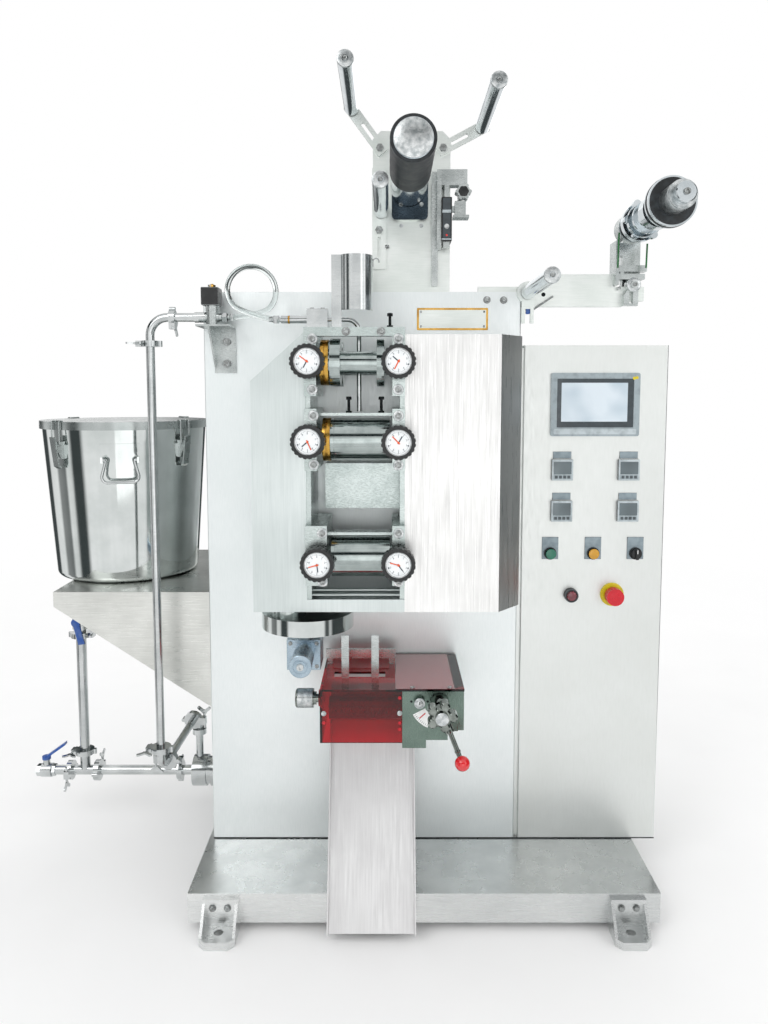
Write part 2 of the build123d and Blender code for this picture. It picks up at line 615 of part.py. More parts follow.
# Riser: from the pump outlet forward, up beside the cabinet and across to the valve
RISER_X = -607.0
RISER_TOP = 1326.0
RETURN_Z = 322.0
RISER_FOOT_Z = 284.0
PUMP_OUT_X = -577.0
PUMP_R = 40.0
with BuildPart() as riser_pipe:
    route = [
        (PUMP_OUT_X, SUCTION_Y, SUCTION_Z + PUMP_R),
        (PUMP_OUT_X, SUCTION_Y, RETURN_Z),
        (RISER_X, VALVE_Y, RISER_FOOT_Z),
        (RISER_X, VALVE_Y, RISER_TOP),
        (-482.0, VALVE_Y, RISER_TOP),
    ]
    swept_bar(route, [28.0, 28.0, 40.0], RISER_R)
    run = (Vector(*route[2]) - Vector(*route[1])).normalized()
    back_clamp = Vector(*route[1]) + run * 42
    front_clamp = Vector(*route[2]) - run * 40
    tri_clamp(tuple(back_clamp), tuple(run), (1, 0, 0), 23.0)
    tri_clamp(tuple(front_clamp), tuple(run), (-1, 0, 0), 24.0)
    tri_clamp((RISER_X, VALVE_Y, 334.0), (0, 0, 1), (-1, 0, 0), 23.0)
    tri_clamp((RISER_X, VALVE_Y, 1268.0), (0, 0, 1), (-1, 0, 0), 20.0)
    tri_clamp((-556.0, VALVE_Y, RISER_TOP), (1, 0, 0), (0, 0, -1), 16.0)
    rod_z((262.0, 276.0), (PUMP_OUT_X, SUCTION_Y), 18.0)
    rod_x((-506.0, -482.0), (VALVE_Y, RISER_TOP), 11.5)
riser_pipe.part.label = "riser_pipe"
export_step(riser_pipe.part, "parts/riser_pipe.step")

# Suction line: drain valve, tee, drop pipe from the tank valve and the run to the pump
SUCTION_LEFT = -1009.0
DROP_X = -882.0
PUMP_LEFT = -592.0
TANK_VALVE_Z = (546.0, 594.0)
OUTLET_X = -820.0
with BuildPart() as suction_pipe:
    rod_x((SUCTION_LEFT, PUMP_LEFT), (SUCTION_Y, SUCTION_Z), SUCTION_R)
    rod_z((SUCTION_Z, TANK_VALVE_Z[0]), (DROP_X, SUCTION_Y), SUCTION_R)
    with BuildSketch(Plane.YZ.offset(SUCTION_LEFT)):
        with Locations((SUCTION_Y, SUCTION_Z)):
            RegularPolygon(16, 6)
    extrude(amount=14)
    with BuildSketch(Plane.YZ.offset(-972.0)):
        with Locations((SUCTION_Y, SUCTION_Z)):
            RegularPolygon(16, 6)
    extrude(amount=12)
    rod_x((-997.0, -970.0), (SUCTION_Y, SUCTION_Z), 18.0)
    tri_clamp((-921.0, SUCTION_Y, SUCTION_Z), (1, 0, 0), (0, -1, 0), 25.0)
    tri_clamp((-848.0, SUCTION_Y, SUCTION_Z), (1, 0, 0), (0, 1, 0), 27.0)
    tri_clamp((-629.0, SUCTION_Y, SUCTION_Z), (1, 0, 0), (0, 0, 1), 24.0)
    tri_clamp((DROP_X, SUCTION_Y, 213.0), (0, 0, 1), (-1, 0, 0), 24.0)
    tri_clamp((DROP_X, SUCTION_Y, 530.0), (0, 0, 1), (1, 0, 0), 25.0)
    rod_z((SUCTION_Z, SUCTION_Z + 30), (-985.0, SUCTION_Y), 9.0)
    rod_z(TANK_VALVE_Z, (DROP_X, SUCTION_Y), 20.0)
    rod_y((SUCTION_Y - 28, SUCTION_Y), (DROP_X, 570.0), 9.0)
    route = [
        (DROP_X, SUCTION_Y, TANK_VALVE_Z[1]),
        (DROP_X, SUCTION_Y, 638.0),
        (OUTLET_X, SUCTION_Y, 638.0),
        (OUTLET_X, SUCTION_Y, TANK_BOTTOM),
    ]
    swept_bar(route, 20.0, SUCTION_R)
suction_pipe.part.label = "suction_pipe"
export_step(suction_pipe.part, "parts/suction_pipe.step")

# Pump: a short drum on the cabinet's side
with BuildPart() as pump:
    rod_x((PUMP_LEFT, -556.0), (SUCTION_Y, SUCTION_Z), PUMP_R)
    rod_x((-556.0, -544.0), (SUCTION_Y, SUCTION_Z), PUMP_R - 5)
    rod_x((-544.0, MAIN_LEFT), (SUCTION_Y, SUCTION_Z), PUMP_R)
    rod_x((MAIN_LEFT - 6, MAIN_LEFT), (SUCTION_Y, SUCTION_Z), PUMP_R + 12)
pump.part.label = "pump"
export_step(pump.part, "parts/pump.step")

# Tank shelf: top plate, two gusset plates and a wall flange
SHELF_LEFT = -879.0
SHELF_FRONT = -165.0
SHELF_BACK = 355.0
with BuildPart() as tank_shelf:
    slab((SHELF_LEFT, MAIN_LEFT), (SHELF_FRONT, SHELF_BACK), (TANK_BOTTOM - SHEET, TANK_BOTTOM))
    outline = [
        (SHELF_LEFT, TANK_BOTTOM),
        (MAIN_LEFT, TANK_BOTTOM),
        (MAIN_LEFT, 398.0),
        (-521.0, 412.0),
        (SHELF_LEFT, 649.0),
    ]
    plate(front_plane(SHELF_FRONT + SHEET), outline, SHEET)
    plate(front_plane(SHELF_BACK), outline, SHEET)
    slab((MAIN_LEFT - SHEET, MAIN_LEFT), (SHELF_FRONT, SHELF_BACK), (398.0, TANK_BOTTOM))
    rod_z((TANK_BOTTOM - SHEET, TANK_BOTTOM), (OUTLET_X, SUCTION_Y), SUCTION_R + 4, Mode.SUBTRACT)
tank_shelf.part.label = "tank_shelf"
export_step(tank_shelf.part, "parts/tank_shelf.step")

# Tank shell: a tapered pot with handle plates and ears riveted to its wall
HANDLE_Z = 998.0
HANDLE_REACH = 219.0
EAR_AT = 42.0
FOOT_R = 16.0
PLATE_Z = (974.0, 1036.0)
PLATE_RISE = 2.5
PLATE_ARC = 28.4
taper = (TANK_TOP_R - TANK_BOTTOM_R) / (TANK_TOP - TANK_BOTTOM)
plate_low, plate_high = (TANK_BOTTOM_R + taper * (level - TANK_BOTTOM) for level in PLATE_Z)
with BuildPart() as tank_shell:
    with BuildSketch(Plane(origin=(TANK_X, TANK_Y, TANK_BOTTOM), x_dir=(1, 0, 0), z_dir=(0, -1, 0))):
        height = TANK_TOP - TANK_BOTTOM
        with BuildLine():
            FilletPolyline((0, 0), (TANK_BOTTOM_R, 0), (TANK_TOP_R, height), radius=FOOT_R)
            Line((TANK_TOP_R, height), (TANK_TOP_R - TANK_WALL, height))
            FilletPolyline(
                (TANK_TOP_R - TANK_WALL, height),
                (TANK_BOTTOM_R - TANK_WALL, TANK_WALL),
                (0, TANK_WALL),
                radius=FOOT_R - TANK_WALL,
            )
            Line((0, TANK_WALL), (0, 0))
        make_face()
    revolve(axis=Axis((TANK_X, TANK_Y, 0), (0, 0, 1)))
    for turn in (TANK_TURN - 90, TANK_TURN + 90):
        out = Vector(cos(radians(turn)), sin(radians(turn)), 0)
        along = Vector(-out.Y, out.X, 0)
        face = Vector(TANK_X, TANK_Y, HANDLE_Z) + out * 199
        start = radians(turn - PLATE_ARC / 2)
        edge = Vector(cos(start), sin(start), 0)
        with BuildSketch(Plane(origin=(TANK_X, TANK_Y, 0), x_dir=edge, z_dir=edge.cross(Vector(0, 0, 1)))):
            with BuildLine():
                Polyline(
                    (plate_low - 1, PLATE_Z[0]),
                    (plate_low + PLATE_RISE, PLATE_Z[0]),
                    (plate_high + PLATE_RISE, PLATE_Z[1]),
                    (plate_high - 1, PLATE_Z[1]),
                    close=True,
                )
            make_face()
        revolve(axis=Axis((TANK_X, TANK_Y, 0), (0, 0, 1)), revolution_arc=PLATE_ARC)
        for ear in (-EAR_AT, EAR_AT):
            with BuildSketch(Plane(origin=face + along * (ear - 2.5), x_dir=out, z_dir=along)):
                with Locations((13, 0)):
                    Rectangle(26, 14)
                with Locations((HANDLE_REACH - 199, 0)):
                    Circle(3.55, mode=Mode.SUBTRACT)
            extrude(amount=5)
tank_shell.part.label = "tank_shell"
export_step(tank_shell.part, "parts/tank_shell.step")

# Tank handles: bent rods that hang in the ears
HANDLE_R = 3.5
HANDLE_HALF = 32.5
HANDLE_FOOT_HALF = 47.0
HANDLE_DROP = 55.0
for name, turn in (("tank_handle_front", TANK_TURN - 90), ("tank_handle_rear", TANK_TURN + 90)):
    out = Vector(cos(radians(turn)), sin(radians(turn)), 0)
    along = Vector(-out.Y, out.X, 0)
    pivot = Vector(TANK_X, TANK_Y, HANDLE_Z) + out * HANDLE_REACH
    down = Vector(0, 0, -HANDLE_DROP)
    corners = [
        pivot + along * (EAR_AT + 3),
        pivot + along * HANDLE_HALF,
        pivot + along * HANDLE_FOOT_HALF + down,
        pivot - along * HANDLE_FOOT_HALF + down,
        pivot - along * HANDLE_HALF,
        pivot - along * (EAR_AT + 3),
    ]
    with BuildPart() as handle:
        swept_bar([tuple(corner) for corner in corners], [4.0, 14.0, 14.0, 4.0], HANDLE_R)
    handle.part.label = name
    export_step(handle.part, f"parts/{name}.step")

# Tank lid: a disc with a turned-down rim, and the toggle latches on it
LID_R = 213.0
LATCH_TURNS = (TANK_TURN - 45, TANK_TURN + 45, TANK_TURN + 135, TANK_TURN + 225)
LATCH_Z = (998.0, 1040.0)
WIRE_R = 1.8
with BuildPart() as tank_lid:
    rod_z((TANK_TOP, TANK_TOP + 6), (TANK_X, TANK_Y), LID_R)
    with BuildSketch(Plane.XY.offset(TANK_TOP - 14)):
        with Locations((TANK_X, TANK_Y)):
            Circle(LID_R)
            Circle(LID_R - 3, mode=Mode.SUBTRACT)
    extrude(amount=14)
    for turn in LATCH_TURNS:
        out = Vector(sin(radians(turn)), -cos(radians(turn)), 0)
        along = Vector(-out.Y, out.X, 0)
        foot = Vector(TANK_X, TANK_Y, 0) + out * 200
        with BuildSketch(Plane(origin=foot, x_dir=out, z_dir=along * -1)):
            with BuildLine():
                Polyline(
                    (0, LATCH_Z[0]),
                    (10, LATCH_Z[0]),
                    (22, LATCH_Z[1] - 18),
                    (22, LATCH_Z[1]),
                    (0, LATCH_Z[1]),
                    close=True,
                )
            make_face()
        extrude(amount=11, both=True)
        with BuildSketch(Plane(origin=foot, x_dir=out, z_dir=along * -1)):
            with BuildLine():
                Polyline(
                    (24, LATCH_Z[1] + 12),
                    (28, LATCH_Z[1] + 12),
                    (18, LATCH_Z[0] - 18),
                    (10, LATCH_Z[0] - 24),
                    (9, LATCH_Z[0] - 20),
                    (15, LATCH_Z[0] - 14),
                    (20, LATCH_Z[1] - 14),
                    close=True,
                )
            make_face()
        extrude(amount=9, both=True)
        pivot = foot + out * 17 + Vector(0, 0, LATCH_Z[1] - 8)
        with Locations(Plane(origin=pivot, z_dir=along)):
            Cylinder(2.6, 34.0)
        rise = Vector(0, 0, TANK_TOP + 7.4) - Vector(0, 0, LATCH_Z[1] - 8)
        bail = [
            pivot - along * 14,
            pivot - along * 14 + rise,
            pivot - along * 14 + rise - out * 12,
            pivot + along * 14 + rise - out * 12,
            pivot + along * 14 + rise,
            pivot + along * 14,
        ]
        swept_bar([tuple(corner) for corner in bail], 4.0, WIRE_R)
    with Locations((TANK_X, TANK_Y, (TANK_BOTTOM + TANK_TOP) / 2)):
        Cone(TANK_BOTTOM_R + 0.05, TANK_TOP_R + 0.05, TANK_TOP - TANK_BOTTOM, mode=Mode.SUBTRACT)
tank_lid.part.label = "tank_lid"
export_step(tank_lid.part, "parts/tank_lid.step")

# Disc hood under the left guard, with its boss and the hanging micrometer block
HOOD_AT = (-255.0, -305.0)
MICRO_AT = (-258.0, 600.0)
with BuildPart() as disc_hood:
    rod_z((648.0, 682.0), HOOD_AT, 101.0)
    rod_z((682.0, GUARD_BOTTOM), (-300.0, -300.0), 40.0)
    rod_z((625.0, 648.0), (-260.0, -305.0), 14.0)
    slab((-298.0, -225.0), (-345.0, -270.0), (558.0, 625.0))
    rod_y((-366.0, -345.0), MICRO_AT, 20.0)
    rod_y((-366.0, -350.0), MICRO_AT, 8.05, Mode.SUBTRACT)
disc_hood.part.label = "disc_hood"
export_step(disc_hood.part, "parts/disc_hood.step")

# Micrometer knob under the hood: a ribbed barrel with an end disc
MICRO_RIBS = 7
with BuildPart() as micrometer_knob:
    rod_y((-371.0, -351.0), MICRO_AT, 8.0)
    rod_y((-436.0, -371.0), MICRO_AT, 20.5)
    for rib in range(MICRO_RIBS):
        rod_y((-434.0 + rib * 9, -428.5 + rib * 9), MICRO_AT, 22.5)
    rod_y((-446.0, -434.0), MICRO_AT, 23.5)
    rod_y((-449.0, -446.0), MICRO_AT, 12.0)
micrometer_knob.part.label = "micrometer_knob"
export_step(micrometer_knob.part, "parts/micrometer_knob.step")

# Cutter cover: a clear box over the knives, open below, with a film slot on top
COVER_WALL = 5.0
SIDE_KNOB = (-345.0, 495.0)
SLOT_X = (-196.0, -84.0)
SLOT_Y = (-341.0, -309.0)
with BuildPart() as cutter_cover:
    slab((COVER_LEFT, COVER_RIGHT), (CUTTER_FRONT, FACE), (COVER_BOTTOM, CUTTER_TOP))
    slab(
        (COVER_LEFT + COVER_WALL, COVER_RIGHT),
        (CUTTER_FRONT + COVER_WALL, FACE),
        (COVER_BOTTOM, CUTTER_TOP - COVER_WALL),
        Mode.SUBTRACT,
    )
    slab(SLOT_X, SLOT_Y, (CUTTER_TOP - COVER_WALL, CUTTER_TOP), Mode.SUBTRACT)
    slab((-63.0, GEARBOX_RIGHT - 1), (CUTTER_FRONT - 9, FACE - 10), (CUTTER_TOP, CUTTER_TOP + COVER_WALL))
    rod_x((COVER_LEFT - 8, COVER_LEFT + COVER_WALL), SIDE_KNOB, 18.0)
    rod_x((COVER_LEFT - 8, COVER_LEFT + COVER_WALL), SIDE_KNOB, 9.05, Mode.SUBTRACT)
cutter_cover.part.label = "cutter_cover"
export_step(cutter_cover.part, "parts/cutter_cover.step")

# Cutter gearbox: block, lower block, key lock and the two knife shafts
with BuildPart() as cutter_gearbox:
    slab((COVER_RIGHT, GEARBOX_RIGHT - 13), (CUTTER_FRONT, FACE), (452.0, CUTTER_TOP))
    slab((GEARBOX_RIGHT - 13, GEARBOX_RIGHT), (CUTTER_FRONT + 9, FACE), (450.0, CUTTER_TOP))
    slab((COVER_RIGHT, 2.0), (CUTTER_FRONT, FACE), (415.0, 452.0))
    slab((2.0, 49.0), (CUTTER_FRONT + 19, FACE), (424.0, 452.0))
    rod_y((CUTTER_FRONT - 5, CUTTER_FRONT), (KNOB_AXIS[0], KNOB_AXIS[1] + 3), 20.0)
    rod_y((CUTTER_FRONT - 10, CUTTER_FRONT), (-12.0, 516.0), 11.0)
    for knife_y in (-358.0, -292.0):
        rod_x((-205.0, COVER_RIGHT), (knife_y, 480.0), 24.0)
    rod_y((CUTTER_FRONT - 5, CUTTER_FRONT + 20), KNOB_AXIS, STEM_R + RUNNING_GAP, Mode.SUBTRACT)
cutter_gearbox.part.label = "cutter_gearbox"
export_step(cutter_gearbox.part, "parts/cutter_gearbox.step")

# Knurled knob on the cover's left side
with BuildPart() as cutter_side_knob:
    rod_x((-240.0, COVER_LEFT + 3), SIDE_KNOB, 9.0)
    rod_x((-279.0, -240.0), SIDE_KNOB, 20.5)
    chamfer(cutter_side_knob.edges().filter_by(GeomType.CIRCLE).group_by(Axis.X)[0], 2)
    rod_x((-240.0, -234.0), SIDE_KNOB, 14.0)
cutter_side_knob.part.label = "cutter_side_knob"
export_step(cutter_side_knob.part, "parts/cutter_side_knob.step")

# Star handwheel: five lobes on a stem
STAR_LOBES = 5
star_plane = Plane(origin=(KNOB_AXIS[0], -484.0, KNOB_AXIS[1]), x_dir=(1, 0, 0), z_dir=(0, -1, 0))
with BuildPart() as star_handwheel:
    with BuildSketch(star_plane):
        Circle(20)
        with PolarLocations(22, STAR_LOBES):
            Circle(10)
    extrude(amount=24)
    chamfer(star_handwheel.faces().sort_by(Axis.Y)[0].edges(), 3)
    rod_y((-515.0, -484.0), KNOB_AXIS, 13.0)
    rod_y((-484.0, CUTTER_FRONT + 19), KNOB_AXIS, STEM_R)
star_handwheel.part.label = "star_handwheel"
export_step(star_handwheel.part, "parts/star_handwheel.step")

# Clamp lever: hub on the star wheel's stem, a leaning arm and a ball
BALL_AT = (71.0, -500.0, 420.0)
with BuildPart() as clamp_lever:
    rod_y((-470.0, -430.0), KNOB_AXIS, 19.0)
    root = Vector(KNOB_AXIS[0], -450.0, KNOB_AXIS[1])
    lean = Vector(*BALL_AT) - root
    with Locations(Plane(origin=root, z_dir=lean)):
        Cylinder(5.0, lean.length, align=(Align.CENTER, Align.CENTER, Align.MIN))
        Cylinder(9.0, 52.0, align=(Align.CENTER, Align.CENTER, Align.MIN))
    with Locations(BALL_AT):
        Sphere(15.0)
    rod_y((-470.0, -430.0), KNOB_AXIS, STEM_R + RUNNING_GAP, Mode.SUBTRACT)
clamp_lever.part.label = "clamp_lever"
export_step(clamp_lever.part, "parts/clamp_lever.step")

# Film inlet guides above the cutter: two strips on a cross bar
with BuildPart() as inlet_guides:
    for strip_x in (-179.0, -114.0):
        slab((strip_x, strip_x + 16), (-349.0, -345.0), (CUTTER_TOP, 636.0))
    slab((-220.0, -60.0), (FACE - 62, FACE - 54), (554.0, 575.0))
    for leg_x in (-216.0, -76.0):
        slab((leg_x, leg_x + 12), (FACE - 62, FACE - 54), (CUTTER_TOP, 554.0))
inlet_guides.part.label = "inlet_guides"
export_step(inlet_guides.part, "parts/inlet_guides.step")

# Discharge chute: an open trough from the cutter down past the base's front edge
CHUTE_TOP = (-292.0, COVER_BOTTOM)
CHUTE_FOOT = (-445.0, BASE_UNDERSIDE)
CHUTE_FLANGE = 20.0
with BuildPart() as discharge_chute:
    run = Vector(CHUTE_TOP[0] - CHUTE_FOOT[0], CHUTE_TOP[1] - CHUTE_FOOT[1])
    across = Vector(-run.Y, run.X).normalized()
    foot = Vector(*CHUTE_FOOT)
    top = Vector(*CHUTE_TOP)
    left = CHUTE_MIDDLE - CHUTE_WIDTH / 2
    for start, width, rise in ((left, CHUTE_WIDTH, SHEET), (left, SHEET, CHUTE_FLANGE)):
        back = [foot, top, top + across * rise, foot + across * rise]
        plate(Plane.YZ.offset(start), [(p.X, p.Y) for p in back], width)
    back = [foot, top, top + across * CHUTE_FLANGE, foot + across * CHUTE_FLANGE]
    plate(Plane.YZ.offset(left + CHUTE_WIDTH - SHEET), [(p.X, p.Y) for p in back], SHEET)
    slab((-500.0, 500.0), (-600.0, 0.0), (COVER_BOTTOM, 600.0), Mode.SUBTRACT)
    slab((-50.0, 20.0), (-600.0, 0.0), (412.0, 600.0), Mode.SUBTRACT)
    slab((-131.0, -95.0), (-306.0, FACE), (380.0, 392.0))
    slab((-131.0, -95.0), (-427.0, -BASE_DEPTH / 2), (60.0, 72.0))
discharge_chute.part.label = "discharge_chute"
export_step(discharge_chute.part, "parts/discharge_chute.step")

# Touch panel: bezel with a recessed screen
with BuildPart() as touch_panel:
    slab((296.0, 500.0), (FACE - 6, FACE), (1060.0, 1205.0))
    fillet(touch_panel.edges().filter_by(Axis.Y), 5)
    slab((310.0, 486.0), (FACE - 6, FACE - 4.5), (1080.0, 1192.0), Mode.SUBTRACT)
touch_panel.part.label = "touch_panel"
export_step(touch_panel.part, "parts/touch_panel.step")

# Control fittings: temperature controllers, legend plates, stop plate and lamp
CONTROLLERS = ((325.0, 982.0), (479.0, 982.0), (325.0, 886.0), (479.0, 886.0))
with BuildPart() as control_fittings:
    for across, up in CONTROLLERS:
        slab((across - 24, across + 24), (FACE - 9, FACE), (up - 24, up + 24))
        slab((across - 21, across + 21), (FACE - 2, FACE), (up + 26, up + 42))
    for across, up in (START_AT, PAUSE_AT, SELECTOR_AT):
        slab((across - 19, across + 19), (FACE - 2, FACE), (up - 14, up + 38))
        rod_y((FACE - 8, FACE), (across, up), 14.0)
        rod_y((FACE - 8, FACE), (across, up), BUTTON_BORE_R, Mode.SUBTRACT)
    rod_y((FACE - 4, FACE), STOP_AT, 27.0)
    rod_y((FACE - 4, FACE), STOP_AT, STOP_BORE_R, Mode.SUBTRACT)
    rod_y((FACE - 14, FACE), (351.0, 687.0), 16.0)
control_fittings.part.label = "control_fittings"
export_step(control_fittings.part, "parts/control_fittings.step")

# Push buttons and the selector: short plungers in the legend plates
for name, centre in (("start_button", START_AT), ("pause_button", PAUSE_AT)):
    with BuildPart() as button:
        rod_y((FACE - 12, FACE + 8), centre, 8.0)
    button.part.label = name
    export_step(button.part, f"parts/{name}.step")
with BuildPart() as selector_switch:
    rod_y((FACE - 10, FACE + 10), SELECTOR_AT, 8.0)
    slab((SELECTOR_AT[0] - 3, SELECTOR_AT[0] + 3), (FACE - 22, FACE - 10), (SELECTOR_AT[1] - 11, SELECTOR_AT[1] + 11))
selector_switch.part.label = "selector_switch"
export_step(selector_switch.part, "parts/selector_switch.step")

# Emergency stop: a mushroom head on a neck
with BuildPart() as emergency_stop:
    rod_y((FACE - 12, FACE + 7), STOP_AT, 11.0)
    rod_y((FACE - 34, FACE - 12), STOP_AT, 20.0)
emergency_stop.part.label = "emergency_stop"
export_step(emergency_stop.part, "parts/emergency_stop.step")

# Valve levers: a cap on the stem and a flat handle
with BuildPart() as drain_lever:
    rod_z((SUCTION_Z + 30, SUCTION_Z + 38), (-985.0, SUCTION_Y), 11.0)
    lever = [(-985.0, SUCTION_Z + 32), (-932.0, SUCTION_Z + 70), (-932.0, SUCTION_Z + 77), (-985.0, SUCTION_Z + 39)]
    plate(front_plane(SUCTION_Y + 8), lever, 16.0)
drain_lever.part.label = "drain_lever"
export_step(drain_lever.part, "parts/drain_lever.step")
with BuildPart() as tank_valve_lever:
    rod_y((SUCTION_Y - 36, SUCTION_Y - 28), (DROP_X, 570.0), 11.0)
    lever = [(DROP_X - 8, 570.0), (DROP_X + 6, 512.0), (DROP_X + 22, 514.0), (DROP_X + 8, 570.0)]
    plate(front_plane(SUCTION_Y - 30), lever, 5.0)
tank_valve_lever.part.label = "tank_valve_lever"
export_step(tank_valve_lever.part, "parts/tank_valve_lever.step")
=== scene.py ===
# %% [markdown]
# # A liquid packing machine in stainless steel
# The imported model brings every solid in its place, in metres. This file dresses those solids: it adds
# the small things that a solid model leaves out, gives each surface the look of what it is made of,
# and stands the whole machine on a pale floor in soft light.

# %% Load the solid model
import bpy
import numpy as np
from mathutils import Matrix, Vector


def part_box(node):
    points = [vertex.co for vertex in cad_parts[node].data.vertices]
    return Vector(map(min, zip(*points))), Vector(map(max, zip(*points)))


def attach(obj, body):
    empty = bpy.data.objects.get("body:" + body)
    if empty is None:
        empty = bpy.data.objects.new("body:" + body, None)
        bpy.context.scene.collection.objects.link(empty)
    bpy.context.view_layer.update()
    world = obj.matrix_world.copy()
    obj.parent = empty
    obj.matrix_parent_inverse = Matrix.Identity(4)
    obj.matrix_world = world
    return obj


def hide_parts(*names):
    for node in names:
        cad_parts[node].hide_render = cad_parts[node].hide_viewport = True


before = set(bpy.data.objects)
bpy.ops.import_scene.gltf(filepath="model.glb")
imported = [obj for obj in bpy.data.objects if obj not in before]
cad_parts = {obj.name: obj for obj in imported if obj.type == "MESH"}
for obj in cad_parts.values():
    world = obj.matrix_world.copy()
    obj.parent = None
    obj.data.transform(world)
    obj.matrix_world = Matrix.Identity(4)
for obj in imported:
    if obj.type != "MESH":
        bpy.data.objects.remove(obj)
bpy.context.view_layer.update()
bpy.context.scene.view_settings.view_transform = "Standard"

# %% [markdown]
# ## The camera
# The machine is seen from chest height, a little left of its middle. The lens is
# given by its focal length in pixels of a picture 1024 high, and the small shift puts the optical
# axis where the picture's lines of depth run together.

# %% Place the camera
FOCAL_PIXELS = 800.0
PICTURE_WIDE, PICTURE_HIGH = 768.0, 1024.0
AXIS_PIXEL = (388.0, 465.0)
SENSOR_MM = 36.0
eye = bpy.data.cameras.new("eye")
eye.sensor_width = SENSOR_MM
eye.lens = SENSOR_MM * FOCAL_PIXELS / PICTURE_HIGH
eye.shift_x = (PICTURE_WIDE / 2 - AXIS_PIXEL[0]) / PICTURE_HIGH
eye.shift_y = (AXIS_PIXEL[1] - PICTURE_HIGH / 2) / PICTURE_HIGH
eye.clip_end = 60.0
camera = bpy.data.objects.new("camera", eye)
camera.location = (-0.078, -2.042, 1.160)
camera.rotation_euler = (np.radians(90.0 - 5.17), 0.0, 0.0)
bpy.context.scene.collection.objects.link(camera)
bpy.context.scene.camera = camera
print("lens", round(eye.lens, 2), "mm, shift", round(eye.shift_x, 4), round(eye.shift_y, 4))

# %% [markdown]
# ## Colours and nodes
# Colours are written as they look on a screen, in hexadecimal, and turned to the linear values that
# the renderer works with by one function. One small helper adds a node, sets it and links it.

# %% Colour and node helpers
def paint(code, alpha=1.0):
    """Linear colour of a hexadecimal sRGB code: each channel c becomes ((c + 0.055) / 1.055) to the
    power 2.4, or c / 12.92 where c is below 0.04045."""
    values = np.array([int(code[i : i + 2], 16) for i in (1, 3, 5)]) / 255.0
    linear = np.where(values <= 0.04045, values / 12.92, ((values + 0.055) / 1.055) ** 2.4)
    return (*linear.tolist(), alpha)


def add(tree, kind, inputs=(), **settings):
    """Adds a node: settings are its own options, inputs maps a socket to a value or to an output."""
    node = tree.nodes.new(kind)
    for key, value in settings.items():
        setattr(node, key, value)
    for key, value in dict(inputs).items():
        if isinstance(value, bpy.types.NodeSocket):
            tree.links.new(value, node.inputs[key])
        else:
            node.inputs[key].default_value = value
    return node


def fresh(name):
    """A new material with its tree, its surface shader and its pattern coordinates."""
    made = bpy.data.materials.new(name)
    made.use_nodes = True
    tree = made.node_tree
    shader = tree.nodes["Principled BSDF"]
    place = add(tree, "ShaderNodeTexCoord").outputs["Object"]
    return made, tree, shader, place


# Sockets of the Mix node when it mixes two colours: the share, the two colours and the result.
SHARE, FIRST, SECOND, MIXED = 0, 6, 7, 2
print("white is", [round(c, 3) for c in paint("#FFFFFF")], "mid grey is", [round(c, 3) for c in paint("#808080")])

# %% [markdown]
# ## Steel
# Nearly everything here is stainless steel, and what tells one piece from the next is how its surface
# was worked: sheet with a fine drawn grain, thicker plate left matt from the mill, tube and tank
# polished, rollers ground on a lathe. One function makes them all from a grain size in millimetres
# along each axis, because the grain is the same kind of thing each time, only stretched differently.

# %% Worked steel
def worked_steel(name, tone, rough, grain_mm, contrast, bump_um, cloud_mm=180.0, shade="#9A9FA0", depth=0.3):
    """Stainless steel with drawn grain. grain_mm is the grain's size along X, Y and Z; contrast is how
    far the roughness swings; bump_um is the grain's depth; cloud_mm is the size of the soft patches
    which mix in the shade colour up to the share called depth. On most sheets these patches are
    marks that handling leaves; on the drums, the tank and hood, the lid and the chrome knobs they and
    the grain's darker streaks are painted reflection."""
    made, tree, shader, place = fresh(name)
    stretch = tuple(1000.0 / size for size in grain_mm)
    drawn = add(tree, "ShaderNodeMapping", {"Vector": place, "Scale": stretch}).outputs["Vector"]
    grain = add(tree, "ShaderNodeTexNoise", {"Vector": drawn, "Scale": 1.0, "Detail": 3.0, "Roughness": 0.6})
    cloud = add(tree, "ShaderNodeTexNoise", {"Vector": place, "Scale": 1000.0 / cloud_mm, "Detail": 5.0})
    patch = add(tree, "ShaderNodeMapRange",
                {"Value": cloud.outputs["Fac"], "From Min": 0.38, "From Max": 0.68, "To Max": depth})
    # The shade colour mixed in here stands for handling marks on most finishes, and is painted reflection on the
    # drums, tank, lid and chrome knobs.
    patched_tone = add(tree, "ShaderNodeMix", {SHARE: patch.outputs[0], FIRST: paint(tone), SECOND: paint(shade)},
               data_type="RGBA")
    streak = add(tree, "ShaderNodeMapRange",
                 {"Value": grain.outputs["Fac"], "From Min": 0.3, "From Max": 0.75, "To Max": depth * 0.5})
    lined = add(tree, "ShaderNodeMix", {SHARE: streak.outputs[0], FIRST: patched_tone.outputs[MIXED], SECOND: paint(shade)},
                data_type="RGBA")
    swing = add(tree, "ShaderNodeMapRange",
                {"Value": grain.outputs["Fac"], "From Min": 0.3, "From Max": 0.7,
                 "To Min": max(rough - contrast, 0.02), "To Max": rough + contrast})
    bump = add(tree, "ShaderNodeBump", {"Height": grain.outputs["Fac"], "Distance": bump_um * 1e-6})
    tree.links.new(lined.outputs[MIXED], shader.inputs["Base Color"])
    tree.links.new(swing.outputs[0], shader.inputs["Roughness"])
    tree.links.new(bump.outputs["Normal"], shader.inputs["Normal"])
    shader.inputs["Metallic"].default_value = 1.0
    return made


